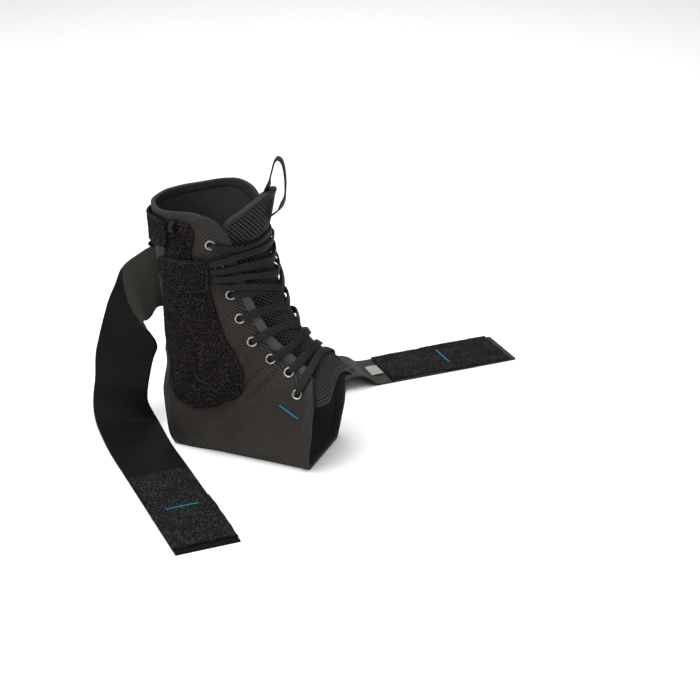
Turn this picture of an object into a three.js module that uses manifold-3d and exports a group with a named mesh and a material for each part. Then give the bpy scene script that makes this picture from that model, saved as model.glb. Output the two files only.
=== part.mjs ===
// Laced ankle brace with two stabilising straps, standing on its sole.
// Millimetres, +Z up, toes towards +X. The near side of the brace is at -Y.
// The origin is on the floor, under the middle of the sole.
import * as THREE from 'three';
import { mergeVertices } from 'three/addons/utils/BufferGeometryUtils.js';
import Module from 'manifold-3d';

const wasm = await Module();
wasm.setup();

// Outer form of the brace
const braceHeight = 196;      // sole to the top of the back
const toeReach = 61;          // origin to the toe end over the instep
const heelReach = 86;         // origin to the furthest point of the heel
const sideReach = 36;         // middle line to the side of the sole

// Cloth wall, its bound edges and the pieces sewn on it
const clearance = 0.3;        // between pieces that touch
const facetAllowance = 0.5;   // more room where flat facets lie over a curved wall
const wallThickness = 2.6;
const bindingWidth = 7;
const bindingProud = 0.5;     // how far a binding stands over the wall, on each face
const loopFieldThickness = 1;
const tabThickness = 1.8;
const rearTabHeight = 24;

// Tongue
const tongueThickness = 4;
const tongueBindingWidth = 5;
const tongueSink = 0.9;       // mesh below the brace's outer form in the front gap
const pullLoopWidth = 9;
const pullLoopThickness = 1.3;
const pullLoopRise = 26.5;    // over the tongue's tip

// Rings and laces
const ringRadius = 4.2;
const ringHoleRadius = 2.6;
const ringBarrelWall = 0.5;
const ringLipHeight = 0.8;
const laceWidth = 6;
const laceThickness = 1.2;
const laceEndWidth = 3.2;
const laceEndSink = 0.9;      // how far a lace's end goes down into its ring
const laceRise = 0.55;        // how far a lace bows up where it leaves its ring

// Straps with their hook ends
const strapWidth = 50;
const strapThickness = 1.8;
const strapLeaveHeight = 130; // where the near strap leaves the back
const hookTabLength = 113;
const hookTabThickness = 2;
const hookTabStep = 5;        // strap end that shows past the hook tab
const barTackLength = 25;
const barTackWidth = 2.2;
const barTackThickness = 0.6;
const barTackPlace = 0.52;    // share of the hook tab's length before its bar tack
const labelLength = 11;
const labelWidth = 17;
const labelThickness = 0.5;
const keeperWidth = 8;
const keeperHeight = 9;
const cuffLoopWidth = 4;
const cuffLoopHeight = 5;
const smallTapeThickness = 1.3;

// Levels over the outer form: a positive level is outside it
const bindingTop = bindingProud;
const bindingBottom = -wallThickness - bindingProud;
const fieldBottom = clearance + facetAllowance;
const fieldTop = fieldBottom + loopFieldThickness;
const tabBottom = fieldTop + clearance + facetAllowance;
const tabTop = tabBottom + tabThickness;
const ringLipTop = clearance + ringLipHeight;
const ringFoot = -wallThickness - clearance;
const laceOverRing = ringLipTop + clearance + laceThickness / 2;
const laceOverBinding = bindingTop + clearance + facetAllowance + laceThickness / 2;
const laceOverMesh = laceThickness / 2 + clearance + facetAllowance - tongueSink;

// Sections of the outer form, from the top edge (0) to the toe end (1).
// Along, front X and Z, back X and Z, half width, and how square the front and the back are.
// X is a share of toeReach or heelReach, Z of braceHeight, width of sideReach.
const sections = [
  [0.00, 0.215, 1.000, -0.953, 1.010, 1.17, 2.0, 2.0],
  [0.15, 0.145, 0.878, -0.930, 0.842, 1.11, 2.0, 2.1],
  [0.30, 0.24, 0.760, -0.907, 0.663, 1.04, 2.0, 2.2],
  [0.43, 0.36, 0.663, -0.872, 0.500, 1.00, 2.0, 2.3],
  [0.55, 0.49, 0.587, -0.884, 0.337, 1.00, 2.0, 2.5],
  [0.65, 0.62, 0.531, -1.000, 0.153, 0.99, 2.0, 3.0],
  [0.75, 0.74, 0.490, -0.814, -0.020, 0.97, 2.0, 3.6],
  [0.84, 0.84, 0.459, -0.291, -0.020, 0.97, 2.0, 4.2],
  [0.92, 0.92, 0.439, 0.233, -0.020, 1.00, 2.0, 4.4],
  [1.00, 1.00, 0.423, 0.674, -0.020, 1.03, 2.0, 4.4],
];

// Places on the brace are [along, around]: around is 0 on the instep and 1 at the back,
// and is negative on the near side.

// Half width of the front gap, by along
const frontGap = [
  [0.12, 0.250], [0.30, 0.230], [0.46, 0.213], [0.59, 0.190], [0.725, 0.158],
  [0.875, 0.165], [0.93, 0.190], [0.97, 0.215],
];
// Half width of the opening over the tongue above the front gap, where the top edge slopes down
const topOpening = [
  [-0.09, 0.60], [-0.04, 0.395], [-0.022, 0.345], [0.005, 0.305], [0.06, 0.262], [0.12, 0.240],
];
// Top edge, by share of the way from the back to the front gap
const topEdge = [
  [0, -0.010], [0.40, -0.018], [0.60, -0.038], [0.70, -0.045], [0.78, -0.038],
  [0.85, -0.022], [0.90, 0.005], [0.965, 0.060], [1, 0.120],
];
// Toe end, by share of the way from the sole to the front gap
const toeEdge = [[0, 0.995], [0.50, 0.995], [0.70, 1.003], [0.85, 1.005], [0.95, 0.985], [1, 0.962]];
// Half width of the tongue, by along
const tongueHalf = [
  [-0.118, 0.050], [-0.103, 0.122], [-0.055, 0.225], [0.005, 0.310], [0.06, 0.320], [0.20, 0.290],
  [0.45, 0.258], [0.60, 0.238], [0.75, 0.212], [0.86, 0.225], [0.93, 0.300], [1.00, 0.395],
  [1.015, 0.400], [1.065, 0.325], [1.120, 0.220], [1.155, 0.120], [1.170, 0.050],
];
// Open heel: along and the share of the way from the back towards the instep
const heelEdge = [
  [0.515, 0.000], [0.520, 0.110], [0.540, 0.185], [0.575, 0.218], [0.612, 0.255], [0.650, 0.285],
  [0.690, 0.275], [0.725, 0.235], [0.752, 0.190], [0.772, 0.120], [0.782, 0.000],
];
// Loop field: along, around at its rear side, around at its front side
const loopField = [
  [0.000, 0.610, 0.500], [0.030, 0.655, 0.472], [0.080, 0.665, 0.476], [0.145, 0.668, 0.490],
  [0.220, 0.710, 0.462], [0.290, 0.748, 0.432], [0.370, 0.795, 0.428], [0.450, 0.825, 0.430],
  [0.530, 0.765, 0.418], [0.600, 0.688, 0.392], [0.655, 0.635, 0.382], [0.700, 0.575, 0.400],
  [0.730, 0.515, 0.435], [0.745, 0.478, 0.458],
];
// Hook tab over the loop field: along, around at its rear side, around at its front side
const laceTab = [
  [0.152, 0.680, 0.425], [0.165, 0.715, 0.402], [0.190, 0.735, 0.400], [0.225, 0.730, 0.408],
  [0.255, 0.668, 0.418], [0.280, 0.590, 0.424], [0.293, 0.500, 0.440],
];
// Rear tab, from its sewn front end on the far side round the back to its near end:
// around (counted on past the back), along at its middle, and its height as a share
const rearTab = [
  [0.400, 0.222, 0.93], [0.440, 0.220, 1.00], [0.600, 0.185, 1.00], [0.800, 0.120, 1.00],
  [1.000, 0.080, 1.00], [1.200, 0.066, 1.00], [1.320, 0.062, 0.97], [1.360, 0.060, 0.80],
  [1.376, 0.060, 0.55],
];
// Middle of each ring, and the sides of a ring's outline
const rings = [
  [0.090, 0.385], [0.205, 0.350], [0.325, 0.330], [0.440, 0.325],
  [0.565, 0.305], [0.685, 0.257], [0.808, 0.247], [0.914, 0.350],
];
const ringSides = 10;
const ringSlope = 0.8;        // how far the lip leans in from its rim
// Along of each ring's lace where it crosses a quarter of the gap and the instep line
const laceMiddles = [
  [0.126, 0.113], [0.222, 0.250], [0.345, 0.392], [0.445, 0.485],
  [0.562, 0.606], [0.690, 0.669], [0.803, 0.782], [0.905, 0.860],
];
// Runs from tab to tab: along at the tab, over the wall's edge, and at the instep line
const tabLaces = [
  [0.174, 0.150, 0.158], [0.206, 0.207, 0.235], [0.238, 0.262, 0.310], [0.270, 0.312, 0.386],
];
// How far round the lace tab reaches, and the places round where a tab's lace run changes its way:
// inside the gap, over the wall's edge, between the wall's edge and the rings, at and past the rings
const laceTabFront = 0.400;
const tabLaceTurns = { mesh: 0.10, edge: 0.20, wall: 0.27, middle: 0.30, rings: 0.32, past: 0.37 };
const tabLaceWidth = 4.8;
const tabLaceGap = 0.006;     // round, between a tab lace's end and the front of the tab's place

// Near strap from where it leaves the back: X, Y and Z as shares of its height there,
// then the bearing and the slope, in degrees, of its edge that starts on top, and the share of
// its width that the tucked bend leaves
const nearStrapFall = [
  [0.000, 0.000, 0.000, 118, 76, 1.00],
  [-0.057, -0.060, -0.050, 150, 70, 1.00],
  [-0.094, -0.120, -0.086, 168, 61, 0.93],
  [-0.118, -0.150, -0.137, 176, 50, 0.75],
  [-0.122, -0.150, -0.220, 180, 36, 0.85],
  [-0.130, -0.138, -0.315, 182, 20, 0.95],
  [-0.151, -0.128, -0.404, 184, 8, 1.00],
  [-0.190, -0.118, -0.518, 185, -1, 1.00],
  [-0.230, -0.098, -0.703, 178, -3, 1.00],
  [-0.256, -0.080, -0.833, 181, -3, 1.00],
  [-0.230, -0.100, -0.921, 195, -2, 1.00],
  [-0.175, -0.145, -0.975, 210, -1, 1.00],
];
// Where the near strap is sewn on, round the far rear quarter to the back
const nearStrapSewn = [[0.295, 0.812], [0.300, 0.870], [0.305, 0.935]];
const nearStrapRoot = [-heelReach - 0.75, 3];  // where it leaves the back
const nearStrapFloor = [-83.3, -45.3];  // where the near strap comes to lie flat
const nearStrapBearing = -45.8;           // its way along the floor, in degrees
const nearStrapRun = 47;                // flat length before the hook tab

// Far strap from where it is sewn on, in the same columns
const farStrapFall = [
  [-0.012, 0.050, -0.145, 0, 0, 1],
  [-0.026, 0.112, -0.340, -1, 0, 1],
  [-0.016, 0.200, -0.563, -5, 0, 1],
  [0.042, 0.325, -0.757, -14, 0, 1],
  [0.139, 0.473, -0.903, -24, 0, 1],
  [0.255, 0.609, -0.966, -34, 0, 1],
  [0.370, 0.706, -0.961, -42, 1, 1],
  [0.469, 0.788, -0.942, -45, 2, 1],
  [0.572, 0.879, -0.908, -46, 2, 1],
  [0.656, 0.959, -0.898, -46, 3, 1],
  [0.713, 1.013, -0.932, -46, 1, 1],
];
const farStrapSewn = [[0.400, 0.600], [0.455, 0.600]];
const farStrapFloor = [36, 148.4];
const farStrapBearing = 44.3;
const farStrapRun = 13;

const colours = {
  cloth: 0x2f2b27, tape: 0x3a3a3a, mesh: 0x1a1a1b, lace: 0x1c1c1d, loop: 0x17151a,
  hook: 0x141416, strap: 0x1b1b1a, metal: 0xb9b6ae, thread: 0x2f9fbe, label: 0xcfcfcb,
};

function finish(colour, roughness = 0.9, metalness = 0) {
  return new THREE.MeshStandardMaterial({ color: colour, roughness, metalness });
}

// Smooth value of a table of rows at a place in its first column
function tableAt(rows, place) {
  const last = rows.length - 1;
  let i = 0;
  while (i < last - 1 && place > rows[i + 1][0]) i += 1;
  const slope = (k, c) => (rows[k + 1][c] - rows[k][c]) / (rows[k + 1][0] - rows[k][0]);
  const tangent = (k, c) => {
    if (k === 0) return slope(0, c);
    if (k === last) return slope(last - 1, c);
    const before = rows[k][0] - rows[k - 1][0];
    const after = rows[k + 1][0] - rows[k][0];
    return (slope(k - 1, c) * before + slope(k, c) * after) / (before + after);
  };
  const span = rows[i + 1][0] - rows[i][0];
  const u = (place - rows[i][0]) / span;
  const result = [];
  for (let c = 1; c < rows[0].length; c += 1) {
    const start = rows[i][c];
    const end = rows[i + 1][c];
    if (u < 0) {
      result.push(start + tangent(i, c) * span * u);
    } else if (u > 1) {
      result.push(end + tangent(i + 1, c) * span * (u - 1));
    } else {
      result.push(
        (2 * u ** 3 - 3 * u ** 2 + 1) * start + (u ** 3 - 2 * u ** 2 + u) * span * tangent(i, c)
        + (3 * u ** 2 - 2 * u ** 3) * end + (u ** 3 - u ** 2) * span * tangent(i + 1, c));
    }
  }
  return result;
}

function signedPower(value, power) {
  return Math.sign(value) * Math.abs(value) ** power;
}

// Point of the outer form before it is flattened on the floor
function formPoint(along, around) {
  const [frontX, frontZ, backX, backZ, half, frontPower, backPower] = tableAt(sections, along);
  const front = new THREE.Vector2(frontX * toeReach, frontZ * braceHeight);
  const back = new THREE.Vector2(backX * heelReach, backZ * braceHeight);
  const angle = Math.PI * around;
  const power = frontPower + (backPower - frontPower) * (1 - Math.cos(angle)) / 2;
  const forward = signedPower(Math.cos(angle), 2 / power);
  const sideways = signedPower(Math.sin(angle), 2 / power);
  return new THREE.Vector3(
    (front.x + back.x) / 2 + (front.x - back.x) / 2 * forward,
    half * sideReach * sideways,
    (front.y + back.y) / 2 + (front.y - back.y) / 2 * forward);
}

const probe = 0.001;

function formSlopes(along, around) {
  const down = formPoint(along + probe, around).sub(formPoint(along - probe, around));
  const round = formPoint(along, around + probe).sub(formPoint(along, around - probe));
  return [down.divideScalar(2 * probe), round.divideScalar(2 * probe)];
}

function formNormal(along, around) {
  const [down, round] = formSlopes(along, around);
  return down.cross(round).normalize();
}

// Point at a level over the outer form, kept flat on the floor where the sole is
function skin(along, around, level) {
  const face = formPoint(along, around);
  const normal = formNormal(along, around);
  const onFloor = face.z + normal.z * Math.max(level, 0) < 0;
  const point = face.addScaledVector(normal, onFloor ? Math.min(level, 0) : level);
  point.z = Math.max(point.z, -Math.min(level, 0));
  return point;
}

// The place that lies a distance away from another, in the direction of a space vector
function shifted(along, around, direction, distance) {
  const [down, round] = formSlopes(along, around);
  const move = direction.clone().normalize().multiplyScalar(distance);
  const dd = down.dot(down);
  const dr = down.dot(round);
  const rr = round.dot(round);
  const det = dd * rr - dr * dr;
  const md = move.dot(down);
  const mr = move.dot(round);
  return [along + (md * rr - mr * dr) / det, around + (mr * dd - md * dr) / det];
}

// Edge of a closed or open outline moved sideways in the surface; positive is to its left
function movedOutline(outline, distance, closed) {
  const count = outline.length;
  return outline.map(([along, around], i) => {
    const before = outline[closed ? (i + count - 1) % count : Math.max(i - 1, 0)];
    const after = outline[closed ? (i + 1) % count : Math.min(i + 1, count - 1)];
    const way = formPoint(...after).sub(formPoint(...before));
    return shifted(along, around, way.cross(formNormal(along, around)), -distance);
  });
}

function meshVolume(positions, index) {
  const corner = (k) => new THREE.Vector3().fromArray(positions, index[k] * 3);
  let volume = 0;
  for (let k = 0; k < index.length; k += 3) {
    volume += corner(k).dot(corner(k + 1).cross(corner(k + 2)));
  }
  return volume;
}

// Geometry from points and triangles, turned inside out if its faces point inwards
function solidFrom(points, index) {
  const positions = points.flatMap((point) => [point.x, point.y, point.z]);
  const outward = meshVolume(positions, index) > 0;
  const faces = [];
  for (let k = 0; k < index.length; k += 3) {
    faces.push(index[k], outward ? index[k + 1] : index[k + 2], outward ? index[k + 2] : index[k + 1]);
  }
  const geometry = new THREE.BufferGeometry();
  geometry.setAttribute('position', new THREE.Float32BufferAttribute(positions, 3));
  geometry.setIndex(faces);
  return geometry;
}

// Closed slab over a grid of places: top and bottom give its levels at a place
function slab(place, rows, columns, bottom, top, closed = false) {
  const points = [];
  const index = [];
  const wide = columns + 1;
  const rowCount = closed ? rows : rows + 1;
  for (const level of [bottom, top]) {
    for (let r = 0; r < rowCount; r += 1) {
      for (let c = 0; c <= columns; c += 1) {
        const [along, around] = place(r / rows, c / columns);
        points.push(skin(along, around, level(along, around, r / rows, c / columns)));
      }
    }
  }
  const at = (side, r, c) => (side * rowCount + (r % rowCount)) * wide + c;
  const quad = (a, b, c, d) => index.push(a, b, c, a, c, d);
  for (let r = 0; r < rows; r += 1) {
    for (let c = 0; c < columns; c += 1) {
      quad(at(0, r, c), at(0, r, c + 1), at(0, r + 1, c + 1), at(0, r + 1, c));
      quad(at(1, r, c), at(1, r + 1, c), at(1, r + 1, c + 1), at(1, r, c + 1));
    }
    quad(at(0, r, 0), at(0, r + 1, 0), at(1, r + 1, 0), at(1, r, 0));
    quad(at(0, r, columns), at(1, r, columns), at(1, r + 1, columns), at(0, r + 1, columns));
  }
  if (!closed) {
    for (let c = 0; c < columns; c += 1) {
      quad(at(0, 0, c), at(1, 0, c), at(1, 0, c + 1), at(0, 0, c + 1));
      quad(at(0, rows, c), at(0, rows, c + 1), at(1, rows, c + 1), at(1, rows, c));
    }
  }
  return solidFrom(points, index);
}

// Flat band along stations that each hold a middle, the way to its one edge, and half sizes
function band(stations) {
  const points = [];
  const index = [];
  stations.forEach((station, i) => {
    const before = stations[Math.max(i - 1, 0)].middle;
    const after = stations[Math.min(i + 1, stations.length - 1)].middle;
    const way = after.clone().sub(before).normalize();
    const edge = station.edge.clone().normalize();
    const face = edge.clone().cross(way).normalize();
    for (const [sideways, up] of [[-1, -1], [1, -1], [1, 1], [-1, 1]]) {
      points.push(station.middle.clone()
        .addScaledVector(edge, sideways * station.halfWidth)
        .addScaledVector(face, up * station.halfThickness));
    }
  });
  for (let i = 0; i < stations.length - 1; i += 1) {
    for (let k = 0; k < 4; k += 1) {
      const a = i * 4 + k;
      const b = i * 4 + (k + 1) % 4;
      index.push(a, b, b + 4, a, b + 4, a + 4);
    }
  }
  const end = (stations.length - 1) * 4;
  index.push(0, 2, 1, 0, 3, 2, end, end + 1, end + 2, end, end + 2, end + 3);
  return solidFrom(points, index);
}

function toManifold(geometry) {
  const plain = geometry.clone();
  plain.deleteAttribute('normal');
  plain.deleteAttribute('uv');
  const merged = mergeVertices(plain, 1e-4);
  return new wasm.Manifold(new wasm.Mesh({
    numProp: 3,
    vertProperties: new Float32Array(merged.attributes.position.array),
    triVerts: new Uint32Array(merged.index.array),
  }));
}

function fromManifold(solid) {
  const mesh = solid.getMesh();
  const geometry = new THREE.BufferGeometry();
  geometry.setAttribute('position', new THREE.BufferAttribute(new Float32Array(mesh.vertProperties), 3));
  geometry.setIndex(new THREE.BufferAttribute(new Uint32Array(mesh.triVerts), 1));
  return geometry;
}

// Solid turned so that its own Z axis stands on the outer form at a place
function standOn(geometry, along, around) {
  const upright = new THREE.Vector3(0, 0, 1);
  const turn = new THREE.Quaternion().setFromUnitVectors(upright, formNormal(along, around));
  const foot = formPoint(along, around);
  return geometry.applyMatrix4(new THREE.Matrix4().compose(foot, turn, new THREE.Vector3(1, 1, 1)));
}

const group = new THREE.Group();

function add(name, geometry, material) {
  geometry.deleteAttribute('normal');
  geometry.deleteAttribute('uv');
  const mesh = new THREE.Mesh(geometry, material);
  mesh.name = name;
  group.add(mesh);
  return mesh;
}

// Place on the shell: across runs from -1 (near edge of the gap) round the back to 1,
// down runs from the top edge to the toe end, and inset moves in from every edge
function shellPlace(across, down, inset) {
  const share = Math.abs(across);
  const [top] = tableAt(topEdge, share);
  const [toe] = tableAt(toeEdge, share);
  const guess = top + (toe - top) * down;
  const roughAround = 1 - share * (1 - tableAt(frontGap, guess)[0]);
  const [slopeDown] = formSlopes(guess, roughAround);
  const insetAlong = inset / slopeDown.length();
  const along = top + insetAlong + (toe - top - 2 * insetAlong) * down;
  const [gap] = tableAt(frontGap, along);
  const [, slopeRound] = formSlopes(along, gap);
  const around = 1 - share * (1 - gap - inset / slopeRound.length());
  return [along, across < 0 ? -around : around];
}

const shellRows = 19;
const shellColumns = 32;
const heelMiddle = [0.71, -1]; // over the heel's lower back, under which the cut is drawn together

// Heel outline as places, once round, starting at the middle of the back
function heelOutline() {
  const half = [];
  for (let i = 0; i < heelEdge.length - 1; i += 1) {
    const [alongA, shareA] = heelEdge[i];
    const [alongB, shareB] = heelEdge[i + 1];
    half.push([alongA, shareA], [(alongA + alongB) / 2, (shareA + shareB) / 2]);
  }
  half.push(heelEdge[heelEdge.length - 1]);
  const near = half.map(([along, share]) => [along, share - 1]);
  const far = half.slice(1, -1).reverse().map(([along, share]) => [along, -1 - share]);
  return [...near, ...far];
}

// Closed solid that stands through the wall over an outline, with its caps drawn to two points
function loft(outline, middlePlace, lower, upper, cap) {
  const points = [];
  const index = [];
  const count = outline.length;
  for (const level of [lower, upper]) {
    for (const [along, around] of outline) {
      const face = skin(along, around, 0);
      const through = face.clone().sub(skin(along, around, -wallThickness)).divideScalar(wallThickness);
      points.push(face.addScaledVector(through, level));
    }
  }
  for (const level of [lower, cap]) {
    points.push(formPoint(...middlePlace).addScaledVector(formNormal(...middlePlace), level));
  }
  for (let i = 0; i < count; i += 1) {
    const j = (i + 1) % count;
    index.push(i, j, count + j, i, count + j, count + i);
    index.push(2 * count, j, i, 2 * count + 1, count + i, count + j);
  }
  return solidFrom(points, index);
}

function constant(level) {
  return () => level;
}

function addShell() {
  const inset = bindingWidth + clearance;
  const wall = slab(
    (down, across) => shellPlace(2 * across - 1, down, inset),
    shellRows, shellColumns, constant(-wallThickness), constant(0));
  let solid = toManifold(wall);
  const heelCut = loft(movedOutline(heelOutline(), inset, true), heelMiddle, -wallThickness - 2, 2, 60);
  solid = solid.subtract(toManifold(heelCut));
  const holeRadius = ringHoleRadius + ringBarrelWall + clearance;
  for (const side of [-1, 1]) {
    for (const [along, around] of rings) {
      const punch = new THREE.CylinderGeometry(holeRadius, holeRadius, 6 * wallThickness, 8);
      punch.rotateX(Math.PI / 2);
      solid = solid.subtract(toManifold(standOn(punch, along, side * around)));
    }
  }
  add('shell', fromManifold(solid), finish(colours.cloth));
}

// Tape strip between two outlines of places
function strip(outer, inner, closed = false) {
  const rows = closed ? outer.length : outer.length - 1;
  return slab((u, v) => {
    const i = Math.round(u * rows) % outer.length;
    return v < 0.5 ? outer[i] : inner[i];
  }, rows, 1, constant(bindingBottom), constant(bindingTop), closed);
}

// Places along the shell's near gap edge, its top edge and its far gap edge
function edgeStations(inset) {
  const places = [];
  const cornerGap = 0.004;
  for (let r = shellRows; r > 0; r -= 1) {
    places.push(shellPlace(-1, r === shellRows ? 1 - cornerGap : r / shellRows, inset));
  }
  for (let c = 0; c <= shellColumns; c += 1) {
    places.push(shellPlace(2 * c / shellColumns - 1, 0, inset));
  }
  for (let r = 1; r <= shellRows; r += 1) {
    places.push(shellPlace(1, r === shellRows ? 1 - cornerGap : r / shellRows, inset));
  }
  return places;
}

function addBindings() {
  add('edge_binding', strip(edgeStations(0), edgeStations(bindingWidth)), finish(colours.tape, 0.8));
  const toe = [];
  const toeInner = [];
  for (let c = 0; c <= shellColumns; c += 1) {
    toe.push(shellPlace(2 * c / shellColumns - 1, 1, 0));
    toeInner.push(shellPlace(2 * c / shellColumns - 1, 1, bindingWidth));
  }
  add('toe_binding', strip(toe, toeInner), finish(colours.tape, 0.8));
  const heel = heelOutline();
  add('heel_binding', strip(heel, movedOutline(heel, bindingWidth, true), true), finish(colours.tape, 0.8));
}

// Half width of the opening over the tongue, at any place along it
function openHalf(along) {
  const gapStart = frontGap[0][0];
  if (along < gapStart) return tableAt(topOpening, Math.max(along, topOpening[0][0]))[0];
  return tableAt(frontGap, Math.min(along, frontGap[frontGap.length - 1][0]))[0];
}

// Level of the tongue's upper face: close under the laces in the gap, below the wall beside it
function tongueTop(along, around) {
  const under = bindingBottom - clearance - facetAllowance;
  const edge = openHalf(along);
  const inside = Math.min(Math.max((edge - Math.abs(around)) / (0.55 * edge), 0), 1);
  const rise = inside * inside * (3 - 2 * inside);
  return under + (-tongueSink - under) * rise;
}

function tonguePlace(u, v, inset) {
  const first = tongueHalf[0][0];
  const last = tongueHalf[tongueHalf.length - 1][0];
  const eased = (1 - Math.cos(Math.PI * u)) / 2 * 0.5 + u * 0.5;
  let along = first + (last - first) * eased;
  const [down] = formSlopes(Math.min(Math.max(along, 0), 1), 0);
  along += inset / down.length() * (1 - 2 * u);
  const [half] = tableAt(tongueHalf, along);
  const [, round] = formSlopes(along, 0.2);
  return [along, (2 * v - 1) * Math.max(half - inset / round.length(), 0.01)];
}

const tongueRows = 22;
const tongueColumns = 8;

function addTongue() {
  const inset = tongueBindingWidth + 3 * clearance;
  add('tongue', slab(
    (u, v) => tonguePlace(u, v, inset), tongueRows, tongueColumns,
    (s, a) => tongueTop(s, a) - tongueThickness, tongueTop), finish(colours.mesh));
  const rim = [];
  const rimInner = [];
  const walk = (u, v) => {
    rim.push(tonguePlace(u, v, 0));
    rimInner.push(tonguePlace(u, v, tongueBindingWidth));
  };
  for (let i = 0; i < tongueRows; i += 1) walk(i / tongueRows, 0);
  for (let i = 0; i < tongueColumns; i += 2) walk(1, i / tongueColumns);
  for (let i = tongueRows; i > 0; i -= 1) walk(i / tongueRows, 1);
  for (let i = tongueColumns; i > 0; i -= 2) walk(0, i / tongueColumns);
  add('tongue_binding', slab((u, v) => {
    const i = Math.round(u * rim.length) % rim.length;
    return v < 0.5 ? rim[i] : rimInner[i];
  }, rim.length, 1, (s, a) => tongueTop(s, a) - tongueThickness, tongueTop, true), finish(colours.tape, 0.8));
}

function addRings() {
  const barrel = ringHoleRadius + ringBarrelWall;
  const profile = [
    [ringHoleRadius, ringFoot], [barrel, ringFoot], [barrel, clearance], [ringRadius, clearance + 0.1],
    [ringRadius - ringSlope, ringLipTop], [ringHoleRadius, ringLipTop - 0.2], [ringHoleRadius, ringFoot],
  ].map(([radius, level]) => new THREE.Vector2(radius, level));
  for (const [word, side] of [['near', -1], ['far', 1]]) {
    rings.forEach(([along, around], i) => {
      const ring = new THREE.LatheGeometry(profile, ringSides);
      ring.rotateX(Math.PI / 2);
      ring.deleteAttribute('normal');
      ring.deleteAttribute('uv');
      const merged = mergeVertices(standOn(ring, along, side * around), 1e-4);
      const points = [];
      for (let k = 0; k < merged.attributes.position.count; k += 1) {
        points.push(new THREE.Vector3().fromBufferAttribute(merged.attributes.position, k));
      }
      const faces = [];
      const raw = Array.from(merged.index.array);
      for (let k = 0; k < raw.length; k += 3) {
        const [a, b, c] = raw.slice(k, k + 3);
        if (a !== b && b !== c && a !== c) faces.push(a, b, c);
      }
      add(`${word}_eyelet_${i + 1}`, solidFrom(points, faces), finish(colours.metal, 0.3, 0.9));
    });
  }
}

// Stations of a lace run along places with levels; a run that ends in rings narrows there
function laceStations(places, ends) {
  const stations = [];
  places.forEach(([along, around, level], i) => {
    const before = places[Math.max(i - 1, 0)];
    const after = places[Math.min(i + 1, places.length - 1)];
    const way = formPoint(after[0], after[1]).sub(formPoint(before[0], before[1]));
    const normal = formNormal(along, around);
    stations.push({
      middle: formPoint(along, around).addScaledVector(normal, level),
      edge: normal.clone().cross(way).normalize(),
      halfWidth: laceWidth / 2,
      halfThickness: laceThickness / 2,
    });
  });
  if (ends) {
    for (const k of [0, 1, stations.length - 2, stations.length - 1]) {
      stations[k].halfWidth = laceEndWidth / 2;
      stations[k].edge.copy(stations[k < 2 ? 3 : stations.length - 4].edge);
    }
    stations[2].halfWidth = (laceWidth + laceEndWidth) / 4;
    stations[stations.length - 3].halfWidth = (laceWidth + laceEndWidth) / 4;
  }
  return stations;
}

// Level of a ring lace's middle, by its share of the way from the gap's edge to the instep
function ringLaceLevel(along, around) {
  const gap = openHalf(along) - 0.025;
  const inside = Math.min(Math.max((gap - Math.abs(around)) / gap, 0), 1);
  return laceOverBinding + (laceOverMesh - laceOverBinding) * Math.min(1, 1.5 * inside);
}

// Distance from a ring's middle and level of a lace on its way out of the ring
const laceOutOfRing = [[0.4, ringLipTop], [2.6, laceOverRing + laceRise], [6.5, laceOverRing + 0.1]];
const laceSteps = 4;

function addLaces() {
  rings.forEach(([ringAlong, ringAround], i) => {
    const [quarterAlong, middleAlong] = laceMiddles[i];
    const alongAt = (around) => {
      const share = Math.abs(around) / ringAround;
      return middleAlong * (1 - share) * (1 - 2 * share) + 4 * quarterAlong * share * (1 - share)
        + ringAlong * share * (2 * share - 1);
    };
    const [, round] = formSlopes(ringAlong, ringAround);
    const sidePlaces = (side) => {
      const list = [[ringAlong, side * ringAround, -laceEndSink]];
      for (const [distance, level] of laceOutOfRing) {
        const around = ringAround - distance / round.length();
        list.push([alongAt(around), side * around, level]);
      }
      const [outside] = laceOutOfRing[laceOutOfRing.length - 1];
      const reach = ringAround - outside / round.length();
      for (let k = 1; k < laceSteps; k += 1) {
        const around = reach * (1 - k / laceSteps);
        const along = alongAt(around);
        list.push([along, side * around, ringLaceLevel(along, around)]);
      }
      return list;
    };
    const places = [...sidePlaces(-1), [middleAlong, 0, laceOverMesh], ...sidePlaces(1).reverse()];
    add(`lace_${i + 1}`, band(laceStations(places, true)), finish(colours.lace));
  });
  // A tab lace lies over the ring laces, so its levels count up from theirs
  const overRing = laceOverRing + laceRise + laceThickness + clearance;
  const overLace = laceOverBinding + laceThickness + clearance;
  const overMesh = laceOverMesh + laceThickness + clearance + facetAllowance;
  const intoTab = (tabBottom + tabTop) / 2 + laceThickness / 2;
  const turns = tabLaceTurns;
  tabLaces.forEach(([tabAlong, edgeAlong, middleAlong], i) => {
    const start = laceTabFront - tabLaceGap;
    const levels = [
      [0, overMesh], [turns.mesh, overMesh + 0.2], [turns.edge, overLace + 0.35],
      [turns.wall, overRing - 0.6], [turns.rings, overRing + 0.3], [turns.past, overRing + 0.2],
      [start, intoTab],
    ];
    const alongTable = [
      [0, middleAlong], [turns.edge, edgeAlong], [turns.middle, (edgeAlong + tabAlong) / 2],
      [start, tabAlong],
    ];
    const places = [];
    const steps = 12;
    for (let k = 0; k <= steps; k += 1) {
      const around = start * (2 * k / steps - 1);
      const [along] = tableAt(alongTable, Math.abs(around));
      places.push([along, around, tableAt(levels, Math.abs(around))[0]]);
    }
    const stations = laceStations(places, false);
    for (const station of stations) station.halfWidth = tabLaceWidth / 2;
    add(`tab_lace_${i + 1}`, band(stations), finish(colours.lace));
  });
}

// Slab whose rows come from a table of along, rear around and front around
function tableSlab(rows, side, rowSteps, columns, bottom, top) {
  const first = rows[0][0];
  const last = rows[rows.length - 1][0];
  return slab((u, v) => {
    const along = first + (last - first) * u;
    const [rear, front] = tableAt(rows, along);
    return [along, side * (rear + (front - rear) * v)];
  }, rowSteps, columns, constant(bottom), constant(top));
}

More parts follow.
